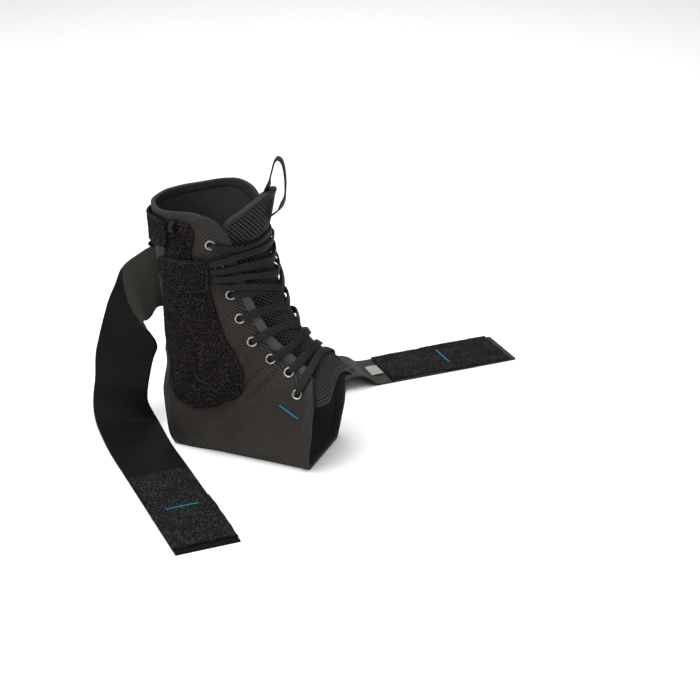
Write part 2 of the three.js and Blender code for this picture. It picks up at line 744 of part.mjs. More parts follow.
function addFieldsAndTabs() {
  add('near_loop_field', tableSlab(loopField, -1, 14, 6, fieldBottom, fieldTop), finish(colours.loop, 1));
  add('far_loop_field', tableSlab(loopField, 1, 14, 6, fieldBottom, fieldTop), finish(colours.loop, 1));
  add('lace_tab', tableSlab(laceTab, -1, 7, 6, tabBottom, tabTop), finish(colours.loop, 1));
  const first = rearTab[0][0];
  const last = rearTab[rearTab.length - 1][0];
  add('rear_tab', slab((u, v) => {
    const around = first + (last - first) * u;
    const [middle, share] = tableAt(rearTab, around);
    const [down] = formSlopes(middle, around);
    const along = middle + (v - 0.5) * share * rearTabHeight / down.length();
    return [along, around];
  }, 18, 3, constant(tabBottom), constant(tabTop)), finish(colours.loop, 1));
}

function directionOf(bearing, slope = 0) {
  const turn = THREE.MathUtils.degToRad(bearing);
  const tilt = THREE.MathUtils.degToRad(slope);
  return new THREE.Vector3(Math.cos(turn) * Math.cos(tilt), Math.sin(turn) * Math.cos(tilt), Math.sin(tilt));
}

// Stations of a strap: its fall by the table, then its straight run along the floor
function strapStations(sewn, upright, level, root, fall, floorPoint, bearing, edgeTurn, run) {
  const stations = sewn.map(([along, around]) => ({
    middle: skin(along, around, level),
    edge: formSlopes(along, around)[upright ? 0 : 1].negate().normalize(),
    halfWidth: strapWidth / 2,
    halfThickness: strapThickness / 2,
  }));
  const falling = fall.map(([x, y, z, turn, slope, widthShare]) => ({
    middle: root.clone().add(new THREE.Vector3(x, y, z).multiplyScalar(root.z)),
    edge: directionOf(turn, slope),
    halfWidth: widthShare * strapWidth / 2,
    halfThickness: strapThickness / 2,
  }));
  stations.push(...falling);
  const way = directionOf(bearing);
  const floorLevel = strapThickness / 2;
  const start = new THREE.Vector3(floorPoint[0], floorPoint[1], floorLevel);
  const length = run + hookTabLength + hookTabStep;
  for (const share of [0, 0.25, 0.5, 0.75, 1]) {
    stations.push({
      middle: start.clone().addScaledVector(way, length * share),
      edge: directionOf(bearing + edgeTurn),
      halfWidth: strapWidth / 2,
      halfThickness: strapThickness / 2,
    });
  }
  return stations;
}

// Box that lies on a strap's floor run: its start and size along and across the strap
function onFloorRun(floorPoint, bearing, start, length, width, level, thickness) {
  const box = new THREE.BoxGeometry(length, width, thickness);
  box.translate(start + length / 2, 0, level + thickness / 2);
  box.rotateZ(THREE.MathUtils.degToRad(bearing));
  box.translate(floorPoint[0], floorPoint[1], 0);
  return fromManifold(toManifold(box));
}

function addStraps() {
  const nearRoot = new THREE.Vector3(...nearStrapRoot, strapLeaveHeight);
  const onWall = clearance + 2 * facetAllowance + strapThickness / 2;
  const nearStations = strapStations(
    nearStrapSewn, true, onWall, nearRoot, nearStrapFall,
    nearStrapFloor, nearStrapBearing, -90, nearStrapRun);
  add('near_strap', band(nearStations), finish(colours.strap));
  const onField = fieldTop + clearance + facetAllowance + strapThickness / 2;
  const farRoot = skin(...farStrapSewn[1], onField);
  const farStations = strapStations(
    farStrapSewn, false, onField, farRoot, farStrapFall, farStrapFloor, farStrapBearing, -90, farStrapRun);
  add('far_strap', band(farStations), finish(colours.strap));
  const tabLevel = strapThickness + clearance;
  const tackLevel = tabLevel + hookTabThickness + clearance;
  const sides = [
    ['near', nearStrapFloor, nearStrapBearing, nearStrapRun],
    ['far', farStrapFloor, farStrapBearing, farStrapRun],
  ];
  for (const [word, floorPoint, bearing, run] of sides) {
    const hookTab = onFloorRun(
      floorPoint, bearing, run, hookTabLength, strapWidth, tabLevel, hookTabThickness);
    add(`${word}_hook_tab`, hookTab, finish(colours.hook, 1));
    const tack = onFloorRun(
      floorPoint, bearing, run + hookTabLength * barTackPlace, barTackWidth, barTackLength,
      tackLevel, barTackThickness);
    add(`${word}_tab_bar_tack`, tack, finish(colours.thread));
  }
  const label = onFloorRun(
    farStrapFloor, farStrapBearing, farStrapRun - labelLength - 1, labelLength, labelWidth,
    tabLevel, labelThickness);
  add('care_label', label, finish(colours.label, 0.8));
}

// Bow of the tape loop over the tongue's tip: X and Z as shares of its rise
const pullLoopBow = [
  [-0.18, 0.14], [-0.12, 0.36], [-0.04, 0.64], [0.03, 0.88], [0.14, 1.00], [0.26, 0.92], [0.33, 0.68],
  [0.36, 0.31], [0.34, -0.03], [0.27, -0.28], [0.17, -0.50],
];
// Its feet behind and before the tongue, as steps along the brace from the tongue's tip
const pullLoopFeet = [[0.083, 0.044, 0.012], [0.125]];
const pullLoopTurn = 108;  // bearing of the tape's width, in degrees

function addPullLoop() {
  const tip = formPoint(tongueHalf[0][0], 0);
  const half = pullLoopThickness / 2;
  const behind = -tongueSink - tongueThickness - clearance - facetAllowance - half;
  const before = -tongueSink + clearance + facetAllowance + half;
  const onTongue = (step, level) => {
    const along = tongueHalf[0][0] + step;
    return formPoint(along, 0).addScaledVector(formNormal(along, 0), level);
  };
  const route = [
    ...pullLoopFeet[0].map((step) => onTongue(step, behind)),
    ...pullLoopBow.map(([x, z]) => new THREE.Vector3(x, 0, z).multiplyScalar(pullLoopRise).add(tip)),
    ...pullLoopFeet[1].map((step) => onTongue(step, before)),
  ];
  const lastFoot = pullLoopFeet[0].length;
  const stations = route.map((middle, i) => ({
    middle,
    edge: directionOf(i > lastFoot && i < route.length - 3 ? pullLoopTurn : 90),
    halfWidth: pullLoopWidth / 2,
    halfThickness: half,
  }));
  add('pull_loop', band(stations), finish(colours.tape, 0.8));
}

// Small tape arch that stands on the brace: its two feet are places, its bow a height
function tapeArch(foot, otherFoot, level, height, width) {
  const stations = [];
  const steps = 6;
  const start = skin(...foot, level);
  const end = skin(...otherFoot, level);
  const normal = formNormal(...foot);
  const edge = normal.clone().cross(end.clone().sub(start)).normalize();
  for (let k = 0; k <= steps; k += 1) {
    const share = k / steps;
    const swell = Math.sin(Math.PI * share);
    const lean = (1 - Math.cos(Math.PI * share)) / 2;
    stations.push({
      middle: start.clone().lerp(end, lean).addScaledVector(normal, height * swell),
      edge,
      halfWidth: width / 2,
      halfThickness: smallTapeThickness / 2,
    });
  }
  return band(stations);
}

// Places of the two feet of each small tape arch, and of the quarter's bar tack's ends
const cuffLoopFeet = [[-0.002, -0.578], [0.040, -0.572]];
const keeperFeet = [[0.160, -0.995], [0.186, -0.995]];
const quarterTackEnds = [[0.878, -0.449], [0.952, -0.482]];

function addSmallLoops() {
  add('cuff_loop', tapeArch(
    ...cuffLoopFeet, fieldTop + clearance, cuffLoopHeight, cuffLoopWidth), finish(colours.tape));
  add('strap_keeper', tapeArch(
    ...keeperFeet, clearance, keeperHeight, keeperWidth), finish(colours.tape));
}

function addBarTack() {
  const [start, end] = quarterTackEnds;
  const stations = [];
  for (const share of [0, 0.5, 1]) {
    const along = start[0] + (end[0] - start[0]) * share;
    const around = start[1] + (end[1] - start[1]) * share;
    const normal = formNormal(along, around);
    const way = formPoint(...end).sub(formPoint(...start)).normalize();
    stations.push({
      middle: formPoint(along, around).addScaledVector(normal, clearance + barTackThickness / 2),
      edge: normal.clone().cross(way),
      halfWidth: barTackWidth / 2,
      halfThickness: barTackThickness / 2,
    });
  }
  add('quarter_bar_tack', band(stations), finish(colours.thread));
}

addShell();
addBindings();
addTongue();
addRings();
addLaces();
addFieldsAndTabs();
addPullLoop();
addSmallLoops();
addStraps();
addBarTack();

export default group;
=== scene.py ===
# Laced ankle brace with two loose stabilising straps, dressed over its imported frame.
# Lengths in the tables are millimetres or shares of a named size; the scene itself is in metres.
import math
import bpy
import bmesh
import numpy as np
from mathutils import Matrix, Vector


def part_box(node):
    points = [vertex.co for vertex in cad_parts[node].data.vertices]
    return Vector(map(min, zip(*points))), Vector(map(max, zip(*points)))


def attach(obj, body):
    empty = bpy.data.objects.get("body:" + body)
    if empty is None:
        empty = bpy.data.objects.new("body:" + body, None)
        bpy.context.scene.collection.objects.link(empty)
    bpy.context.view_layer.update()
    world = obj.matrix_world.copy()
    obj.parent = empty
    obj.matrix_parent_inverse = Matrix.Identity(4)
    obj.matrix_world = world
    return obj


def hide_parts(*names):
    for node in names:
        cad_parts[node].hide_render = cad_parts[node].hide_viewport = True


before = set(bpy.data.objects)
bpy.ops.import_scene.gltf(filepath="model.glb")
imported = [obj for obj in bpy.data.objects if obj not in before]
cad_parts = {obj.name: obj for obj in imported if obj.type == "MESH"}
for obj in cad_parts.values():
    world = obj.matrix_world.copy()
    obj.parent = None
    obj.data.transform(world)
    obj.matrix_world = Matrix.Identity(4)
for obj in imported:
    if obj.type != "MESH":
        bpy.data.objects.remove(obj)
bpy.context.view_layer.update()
scene = bpy.context.scene
mm = 0.001

# Camera, floor and light

view = {
    "lens": 92.57, "position": (0.5286, -1.1631, 0.676), "azimuth": 21.2, "pitch": 25.0,
    "floorColour": (0.92, 0.92, 0.92), "worldColour": (1.0, 1.0, 1.0), "worldStrength": 0.42,
    "topPower": 27, "keyPower": 9, "fillPower": 5, "rimPower": 5,
}


def addCamera():
    turn = math.radians(view["azimuth"])
    pitch = math.radians(view["pitch"])
    back = Vector((math.sin(turn) * math.cos(pitch), -math.cos(turn) * math.cos(pitch), math.sin(pitch)))
    data = bpy.data.cameras.new("photo_camera")
    data.lens = view["lens"]
    data.sensor_width = 36
    camera = bpy.data.objects.new("photo_camera", data)
    camera.location = view["position"]
    camera.rotation_mode = "QUATERNION"
    camera.rotation_quaternion = back.to_track_quat("Z", "Y")
    scene.collection.objects.link(camera)
    scene.camera = camera


def addLamp(name, position, target, power, size):
    data = bpy.data.lights.new(name, "AREA")
    data.energy = power
    data.size = size
    lamp = bpy.data.objects.new(name, data)
    lamp.location = position
    lamp.rotation_mode = "QUATERNION"
    lamp.rotation_quaternion = (Vector(position) - Vector(target)).to_track_quat("Z", "Y")
    scene.collection.objects.link(lamp)


def addStudio():
    world = bpy.data.worlds.new("studio")
    world.use_nodes = True
    sky = world.node_tree.nodes["Background"]
    sky.inputs["Color"].default_value = (*view["worldColour"], 1)
    sky.inputs["Strength"].default_value = view["worldStrength"]
    scene.world = world
    scene.view_settings.view_transform = "Standard"
    centre = (0, 0, 0.08)
    addLamp("top_lamp", (-0.15, -0.25, 1.5), centre, view["topPower"], 1.3)
    addLamp("key_lamp", (-0.75, -1.1, 1.0), centre, view["keyPower"], 0.9)
    addLamp("fill_lamp", (1.3, -0.7, 0.9), centre, view["fillPower"], 1.4)
    addLamp("rim_lamp", (-0.3, 1.3, 1.1), centre, view["rimPower"], 1.0)
    data = bpy.data.meshes.new("floor")
    sheet = bmesh.new()
    bmesh.ops.create_grid(sheet, x_segments=1, y_segments=1, size=6)
    sheet.to_mesh(data)
    sheet.free()
    floor = bpy.data.objects.new("floor", data)
    scene.collection.objects.link(floor)
    paint = bpy.data.materials.new("floor")
    paint.use_nodes = True
    shader = paint.node_tree.nodes["Principled BSDF"]
    shader.inputs["Base Color"].default_value = (*view["floorColour"], 1)
    shader.inputs["Roughness"].default_value = 0.9
    data.materials.append(paint)


addCamera()
addStudio()
print("camera, floor and lamps are set")

# The brace's outer form: places are (along, around), 0 on the instep and 1 at the back

form = {
    "height": 196, "toeReach": 61, "heelReach": 86, "sideReach": 36, "wall": 2.6,
    # along, front X and Z, back X and Z, half width, squareness of front and back
    "sections": [
        [0.00, 0.215, 1.000, -0.953, 1.010, 1.17, 2.0, 2.0],
        [0.15, 0.145, 0.878, -0.930, 0.842, 1.11, 2.0, 2.1],
        [0.30, 0.24, 0.760, -0.907, 0.663, 1.04, 2.0, 2.2],
        [0.43, 0.36, 0.663, -0.872, 0.500, 1.00, 2.0, 2.3],
        [0.55, 0.49, 0.587, -0.884, 0.337, 1.00, 2.0, 2.5],
        [0.65, 0.62, 0.531, -1.000, 0.153, 0.99, 2.0, 3.0],
        [0.75, 0.74, 0.490, -0.814, -0.020, 0.97, 2.0, 3.6],
        [0.84, 0.84, 0.459, -0.291, -0.020, 0.97, 2.0, 4.2],
        [0.92, 0.92, 0.439, 0.233, -0.020, 1.00, 2.0, 4.4],
        [1.00, 1.00, 0.423, 0.674, -0.020, 1.03, 2.0, 4.4],
    ],
    "frontGap": [
        [0.12, 0.250], [0.30, 0.230], [0.46, 0.213], [0.59, 0.190], [0.725, 0.158],
        [0.875, 0.165], [0.93, 0.190], [0.97, 0.215],
    ],
    "topOpening": [
        [-0.09, 0.60], [-0.04, 0.395], [-0.022, 0.345], [0.005, 0.305], [0.06, 0.262], [0.12, 0.240],
    ],
    "topEdge": [
        [0, -0.010], [0.40, -0.018], [0.60, -0.038], [0.70, -0.045], [0.78, -0.038],
        [0.85, -0.022], [0.90, 0.005], [0.965, 0.060], [1, 0.120],
    ],
    "toeEdge": [[0, 0.995], [0.50, 0.995], [0.70, 1.003], [0.85, 1.005], [0.95, 0.985], [1, 0.962]],
    "heelEdge": [
        [0.515, 0.000], [0.520, 0.110], [0.540, 0.185], [0.575, 0.218], [0.612, 0.255], [0.650, 0.285],
        [0.690, 0.275], [0.725, 0.235], [0.752, 0.190], [0.772, 0.120], [0.782, 0.000],
    ],
}


def tableAt(rows, places):
    # Smooth values of a table at places in its first column, one array for each other column.
    rows = np.array(rows, float)
    first, values = rows[:, 0], rows[:, 1:]
    step = np.diff(first)
    slope = np.diff(values, axis=0) / step[:, None]
    inner = (slope[:-1] * step[:-1, None] + slope[1:] * step[1:, None]) / (step[:-1] + step[1:])[:, None]
    tangent = np.vstack([slope[:1], inner, slope[-1:]])
    places = np.asarray(places, float)
    i = np.clip(np.searchsorted(first[1:], places), 0, len(first) - 2)
    u = ((places - first[i]) / step[i])[..., None]
    span = step[i][..., None]
    inside = ((2 * u**3 - 3 * u**2 + 1) * values[i] + (u**3 - 2 * u**2 + u) * span * tangent[i]
              + (3 * u**2 - 2 * u**3) * values[i + 1] + (u**3 - u**2) * span * tangent[i + 1])
    before = values[i] + tangent[i] * span * u
    after = values[i + 1] + tangent[i + 1] * span * (u - 1)
    result = np.where(u < 0, before, np.where(u > 1, after, inside))
    return np.moveaxis(result, -1, 0)


def formPoint(along, around):
    along, around = np.broadcast_arrays(np.asarray(along, float), np.asarray(around, float))
    frontX, frontZ, backX, backZ, half, frontPower, backPower = tableAt(form["sections"], along)
    frontX, backX = frontX * form["toeReach"], backX * form["heelReach"]
    frontZ, backZ = frontZ * form["height"], backZ * form["height"]
    angle = np.pi * around
    power = frontPower + (backPower - frontPower) * (1 - np.cos(angle)) / 2
    forward = np.sign(np.cos(angle)) * np.abs(np.cos(angle)) ** (2 / power)
    sideways = np.sign(np.sin(angle)) * np.abs(np.sin(angle)) ** (2 / power)
    x = (frontX + backX) / 2 + (frontX - backX) / 2 * forward
    z = (frontZ + backZ) / 2 + (frontZ - backZ) / 2 * forward
    return np.stack([x, half * form["sideReach"] * sideways, z], -1)


def formSlopes(along, around):
    probe = 0.001
    down = (formPoint(along + probe, around) - formPoint(along - probe, around)) / (2 * probe)
    turn = (formPoint(along, around + probe) - formPoint(along, around - probe)) / (2 * probe)
    return down, turn


def formNormal(along, around):
    down, turn = formSlopes(along, around)
    normal = np.cross(down, turn)
    return normal / np.linalg.norm(normal, axis=-1, keepdims=True)


def skin(along, around, level):
    # Points at a level over the outer form, flat where the sole is on the floor.
    face = formPoint(along, around)
    normal = formNormal(along, around)
    level = np.broadcast_to(np.asarray(level, float), face.shape[:-1])
    onFloor = face[..., 2] + normal[..., 2] * np.maximum(level, 0) < 0
    used = np.where(onFloor, np.minimum(level, 0), level)
    point = face + normal * used[..., None]
    point[..., 2] = np.maximum(point[..., 2], -np.minimum(level, 0))
    return point


def shellPlace(across, down, inset):
    # across runs from -1, the near side of the gap, round the back to 1; down from top to toe.
    share = np.abs(across)
    top = tableAt(form["topEdge"], share)[0]
    toe = tableAt(form["toeEdge"], share)[0]
    guess = top + (toe - top) * down
    rough = 1 - share * (1 - tableAt(form["frontGap"], guess)[0])
    slopeDown = np.linalg.norm(formSlopes(guess, rough)[0], axis=-1)
    insetAlong = inset / slopeDown
    along = top + insetAlong + (toe - top - 2 * insetAlong) * down
    gap = tableAt(form["frontGap"], along)[0]
    slopeRound = np.linalg.norm(formSlopes(along, gap)[1], axis=-1)
    around = 1 - share * (1 - gap - inset / slopeRound)
    return along, np.where(across < 0, -around, around)


def shifted(along, around, direction, distance):
    # Places moved a distance over the surface in space directions.
    down, turn = formSlopes(along, around)
    move = direction / np.linalg.norm(direction, axis=-1, keepdims=True) * distance
    dd, dr, rr = (down * down).sum(-1), (down * turn).sum(-1), (turn * turn).sum(-1)
    det = dd * rr - dr * dr
    md, mr = (move * down).sum(-1), (move * turn).sum(-1)
    return along + (md * rr - mr * dr) / det, around + (mr * dd - md * dr) / det


def ripple(u, v, seed, count=5):
    # Gentle uneven height from about -1 to 1 over two coordinates, the same at each run.
    pick = np.random.default_rng(seed)
    total = np.zeros(np.broadcast(u, v).shape)
    for _ in range(count):
        turn, size, phase = pick.uniform(0, 2 * np.pi), pick.uniform(0.6, 1.5), pick.uniform(0, 6.28)
        total = total + np.sin(size * (np.cos(turn) * u + np.sin(turn) * v) + phase)
    return total / count * 1.4


def straightUp(u, v):
    return np.array([[0.0, 0.0, 1.0]])


def smoothStep(low, high, value):
    share = np.clip((value - low) / (high - low), 0, 1)
    return share * share * (3 - 2 * share)


# Mesh helpers

def gridMesh(rows, columns, place, clothSize, closed=False, capped=False, outward=None):
    # Grid whose points come from place(u, v) in mm; its map holds cloth metres. closed joins v's ends.
    # outward(u, v) gives the direction that its faces look.
    mesh = bmesh.new()
    layer = mesh.loops.layers.uv.new("cloth")
    bmesh.ops.create_grid(mesh, x_segments=rows, y_segments=columns, size=0.5)
    flat = np.array([vert.co[:2] for vert in mesh.verts])
    shares = (flat - flat.min(0)) / (flat.max(0) - flat.min(0))
    points = place(shares[:, 0], shares[:, 1]) * mm
    cloth = shares * np.array(clothSize) * mm
    mesh.verts.index_update()
    for vert, point in zip(mesh.verts, points):
        vert.co = point
    for face in mesh.faces:
        for loop in face.loops:
            loop[layer].uv = cloth[loop.vert.index]
    if closed:
        bmesh.ops.remove_doubles(mesh, verts=mesh.verts, dist=1e-7)
    if capped:
        bmesh.ops.holes_fill(mesh, edges=[edge for edge in mesh.edges if edge.is_boundary], sides=0)
    if closed:
        bmesh.ops.recalc_face_normals(mesh, faces=mesh.faces)
    if outward:
        mesh.faces.ensure_lookup_table()
        sample = mesh.faces[len(mesh.faces) // 2]
        sample.normal_update()
        share = shares[sample.verts[0].index]
        if sample.normal.dot(Vector(outward(share[:1], share[1:])[0])) < 0:
            bmesh.ops.reverse_faces(mesh, faces=mesh.faces)
    return mesh


def finishPiece(name, mesh, materials, stands=()):
    data = bpy.data.meshes.new(name)
    mesh.to_mesh(data)
    mesh.free()
    data.polygons.foreach_set("use_smooth", [True] * len(data.polygons))
    for material in materials:
        data.materials.append(material)
    piece = bpy.data.objects.new(name, data)
    scene.collection.objects.link(piece)
    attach(piece, "root")
    if stands:
        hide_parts(*stands)
    return piece


def giveWall(piece, thickness, inside=0):
    wall = piece.modifiers.new("wall", "SOLIDIFY")
    wall.thickness = thickness * mm
    wall.offset = -1
    wall.material_offset = inside


def flatProfile(count, roundness):
    # Closed outline of a flat band, from -1 to 1 both ways; roundness is its rounded share.
    across = np.sin(np.linspace(-0.5, 0.5, count + 1) * np.pi)
    even = np.linspace(-1, 1, count + 1)
    across = across * 0.35 + even * 0.65
    past = np.clip((np.abs(across) - 1 + roundness) / roundness, 0, 1)
    up = np.sqrt(np.maximum(1 - past**2, 0))
    outline = np.concatenate([np.stack([across, up], 1), np.stack([across[::-1], -up[::-1]], 1)[1:]])
    return outline


def alongPath(points, shares):
    # Smooth points of a path at shares of its length.
    points = np.asarray(points, float)
    length = np.concatenate([[0], np.cumsum(np.linalg.norm(np.diff(points[:, :3], axis=0), axis=1))])
    rows = np.column_stack([length / length[-1], points])
    return tableAt(rows, shares).T, length[-1]


def ribbonMesh(middles, edges, widths, thickness, rows, columns, shape=None, roundness=None):
    # Flat band along a path. edges point to its one side; shape(u, x, y) may return extra height in mm.
    middles, edges = np.asarray(middles, float), np.asarray(edges, float)
    widths = np.broadcast_to(np.asarray(widths, float), len(middles))
    packed, length = alongPath(np.column_stack([middles, edges, widths]), np.linspace(0, 1, rows + 1))
    middle, edge, width = packed[:, :3], packed[:, 3:6], packed[:, 6]
    way = np.gradient(middle, axis=0)
    way /= np.linalg.norm(way, axis=1, keepdims=True)
    edge /= np.linalg.norm(edge, axis=1, keepdims=True)
    face = np.cross(edge, way)
    face /= np.linalg.norm(face, axis=1, keepdims=True)
    outline = flatProfile(columns, roundness or min(1, thickness / width.mean()))
    around = len(outline) - 1

    def place(u, v):
        i = np.rint(u * rows).astype(int)
        k = np.rint(v * around).astype(int) % around
        x, y = outline[k, 0], outline[k, 1]
        extra = shape(u, x, y) if shape else 0
        reach = x * width[i] / 2
        points = middle[i] + edge[i] * reach[:, None] + face[i] * (y * thickness / 2 + extra)[:, None]
        points[:, 2] = np.maximum(points[:, 2], 0.0)  # the floor carries a strap
        return points

    return gridMesh(rows, around, place, (length, 2 * width.mean() + 2 * thickness), closed=True, capped=True)


def stitchMesh(points, normals, spacing, length, radius, mesh=None, lean=0.0):
    # Row of stitches along a path of points in mm, sunk a little in the cloth.
    mesh = mesh or bmesh.new()
    packed = np.column_stack([points, normals])
    reach = np.linalg.norm(np.diff(points, axis=0), axis=1).sum()
    count = max(int(reach / spacing), 1)
    spots, _ = alongPath(packed, (np.arange(count) + 0.5) / count)
    ways, _ = alongPath(packed, np.minimum((np.arange(count) + 0.55) / count, 1))
    for spot, ahead in zip(spots, ways):
        normal = Vector(spot[3:6]).normalized()
        way = Vector(ahead[:3] - spot[:3])
        way = (way - normal * way.dot(normal)).normalized()
        side = normal.cross(way)
        way = (way + side * lean).normalized()
        side = normal.cross(way)
        turn = Matrix((side, way, normal)).transposed().to_4x4()
        size = Matrix.Diagonal((radius * mm, length / 2 * mm, radius * 0.8 * mm, 1))
        move = Matrix.Translation(Vector(spot[:3]) * mm)
        bmesh.ops.create_icosphere(mesh, subdivisions=1, radius=1, matrix=move @ turn @ size)
    return mesh


# Node helpers

def addNode(tree, kind, inputs=None, **settings):
    made = tree.nodes.new("ShaderNode" + kind)
    for key, value in settings.items():
        setattr(made, key, value)
    for key, value in (inputs or {}).items():
        if isinstance(value, bpy.types.NodeSocket):
            tree.links.new(value, made.inputs[key])
        else:
            made.inputs[key].default_value = value
    return made


def calc(tree, operation, *values, clamp=False):
    return addNode(tree, "Math", dict(enumerate(values)), operation=operation, use_clamp=clamp).outputs[0]


def newGroup(name, inputs, outputs):
    group = bpy.data.node_groups.new(name, "ShaderNodeTree")
    for socket, kind, start in inputs:
        made = group.interface.new_socket(socket, in_out="INPUT", socket_type="NodeSocket" + kind)
        if start is not None:
            made.default_value = start
    for socket in outputs:
        group.interface.new_socket(socket, in_out="OUTPUT", socket_type="NodeSocketFloat")
    return group, group.nodes.new("NodeGroupInput"), group.nodes.new("NodeGroupOutput")


def weaveGroup():
    # Basket weave over cloth metres: height.
    group, given, out = newGroup(
        "weave", [("Cloth", "Vector", None), ("Pitch", "Float", 0.001), ("Turn", "Float", 0.785)],
        ["Height"])
    size = calc(group, "DIVIDE", 1.0, given.outputs["Pitch"])
    scaled = addNode(group, "VectorMath", {0: given.outputs["Cloth"], "Scale": size}, operation="SCALE")
    turned = addNode(group, "VectorRotate", {"Vector": scaled.outputs[0], "Angle": given.outputs["Turn"]})
    split = addNode(group, "SeparateXYZ", {0: turned.outputs[0]})
    x, y = split.outputs[0], split.outputs[1]
    cell = calc(group, "ADD", calc(group, "FLOOR", x), calc(group, "FLOOR", y))
    warp = calc(group, "PINGPONG", cell, 1.0)
    waveX = calc(group, "ABSOLUTE", calc(group, "SINE", calc(group, "MULTIPLY", x, math.pi)))
    waveY = calc(group, "ABSOLUTE", calc(group, "SINE", calc(group, "MULTIPLY", y, math.pi)))
    over = calc(group, "MULTIPLY", waveX, warp)
    under = calc(group, "MULTIPLY", waveY, calc(group, "SUBTRACT", 1.0, warp))
    group.links.new(calc(group, "ADD", over, under), out.inputs["Height"])
    return group


def ribGroup():
    # Ribs across or along the cloth, a little uneven.
    group, given, out = newGroup(
        "ribs", [("Cloth", "Vector", None), ("Pitch", "Float", 0.001), ("Turn", "Float", 0.0)], ["Height"])
    uneven = addNode(group, "TexNoise", {"Vector": given.outputs["Cloth"], "Scale": 900.0, "Detail": 1.0})
    given = given.outputs
    turned = addNode(group, "VectorRotate", {"Vector": given["Cloth"], "Angle": given["Turn"]})
    split = addNode(group, "SeparateXYZ", {0: turned.outputs[0]})
    turns = calc(group, "DIVIDE", split.outputs[0], given["Pitch"])
    shaken = calc(group, "ADD", turns, calc(group, "MULTIPLY", uneven.outputs["Fac"], 0.5))
    wave = calc(group, "ABSOLUTE", calc(group, "SINE", calc(group, "MULTIPLY", shaken, math.pi)))
    group.links.new(wave, out.inputs["Height"])
    return group


def pileGroup():
    # Looped or hooked pile: bumps of two sizes and stray lighter fibres.
    group, given, out = newGroup(
        "pile", [("Place", "Vector", None), ("Size", "Float", 0.001)], ["Height", "Fibre"])
    size = calc(group, "DIVIDE", 1.0, given.outputs["Size"])
    cells = addNode(group, "TexVoronoi", {"Vector": given.outputs["Place"], "Scale": size})
    fine = addNode(group, "TexNoise", {
        "Vector": given.outputs["Place"], "Scale": calc(group, "MULTIPLY", size, 1.7), "Detail": 3.0})
    height = calc(group, "MULTIPLY_ADD", cells.outputs["Distance"], -0.5, fine.outputs["Fac"])
    group.links.new(height, out.inputs["Height"])
    sharp = addNode(group, "MapRange", {"Value": fine.outputs["Fac"], "From Min": 0.46, "From Max": 0.68})
    group.links.new(sharp.outputs[0], out.inputs["Fibre"])
    return group


def toneGroup():
    # Slow uneven tone on any cloth.
    group, given, out = newGroup("tone", [("Place", "Vector", None), ("Size", "Float", 0.03)], ["Tone"])
    size = calc(group, "DIVIDE", 1.0, given.outputs["Size"])
    slow = addNode(group, "TexNoise", {"Vector": given.outputs["Place"], "Scale": size, "Detail": 3.0})
    group.links.new(slow.outputs["Fac"], out.inputs["Tone"])
    return group


def holeGroup():
    # Holes of a spacer mesh on a staggered lattice: 1 in a hole, 0 on the net.
    group, given, out = newGroup(
        "holes", [("Cloth", "Vector", None), ("PitchX", "Float", 0.003), ("PitchY", "Float", 0.003)],
        ["Hole", "Net"])
    split = addNode(group, "SeparateXYZ", {0: given.outputs["Cloth"]})
    x = calc(group, "DIVIDE", split.outputs[0], given.outputs["PitchX"])
    y = calc(group, "DIVIDE", split.outputs[1], given.outputs["PitchY"])
    waveX = calc(group, "COSINE", calc(group, "MULTIPLY", x, 2 * math.pi))
    waveY = calc(group, "COSINE", calc(group, "MULTIPLY", y, 2 * math.pi))
    field = calc(group, "MULTIPLY", waveX, waveY)
    hole = addNode(group, "MapRange", {"Value": field, "From Min": 0.0, "From Max": 0.25})
    group.links.new(hole.outputs[0], out.inputs["Hole"])
    group.links.new(calc(group, "SUBTRACT", 1.0, hole.outputs[0]), out.inputs["Net"])
    return group


groups = {
    "weave": weaveGroup(), "ribs": ribGroup(), "pile": pileGroup(), "tone": toneGroup(), "holes": holeGroup(),
}


def useGroup(tree, name, inputs):
    made = tree.nodes.new("ShaderNodeGroup")
    made.node_tree = groups[name]
    for key, value in inputs.items():
        if isinstance(value, bpy.types.NodeSocket):
            tree.links.new(value, made.inputs[key])
        else:
            made.inputs[key].default_value = value
    return made.outputs


def mixColour(tree, share, dark, light):
    made = addNode(tree, "Mix", {"Factor": share}, data_type="RGBA")
    for key, colour in (("A", dark), ("B", light)):
        socket = next(s for s in made.inputs if s.name == key and s.type == "RGBA")
        if isinstance(colour, bpy.types.NodeSocket):
            tree.links.new(colour, socket)
        else:
            socket.default_value = (*colour, 1)
    return next(s for s in made.outputs if s.type == "RGBA")


def startMaterial(name, roughness, metallic=0.0, specular=0.09):
    material = bpy.data.materials.new(name)
    material.use_nodes = True
    tree = material.node_tree
    shader = tree.nodes["Principled BSDF"]
    shader.inputs["Roughness"].default_value = roughness
    shader.inputs["Metallic"].default_value = metallic
    shader.inputs["Specular IOR Level"].default_value = 0.5 if metallic else specular
    cloth = addNode(tree, "UVMap", uv_map="cloth").outputs[0]
    place = addNode(tree, "TexCoord").outputs["Object"]
    return material, tree, shader, cloth, place


def dye(shader, tree, share, dark, light):
    tree.links.new(mixColour(tree, share, dark, light), shader.inputs["Base Color"])


def litBy(tree, height, tone, gain, start):
    return calc(tree, "MULTIPLY", height, calc(tree, "MULTIPLY_ADD", tone, gain, start), clamp=True)


def bumpUp(tree, shader, height, distance):
    made = addNode(tree, "Bump", {"Height": height, "Distance": distance, "Strength": 1.0})
    tree.links.new(made.outputs[0], shader.inputs["Normal"])


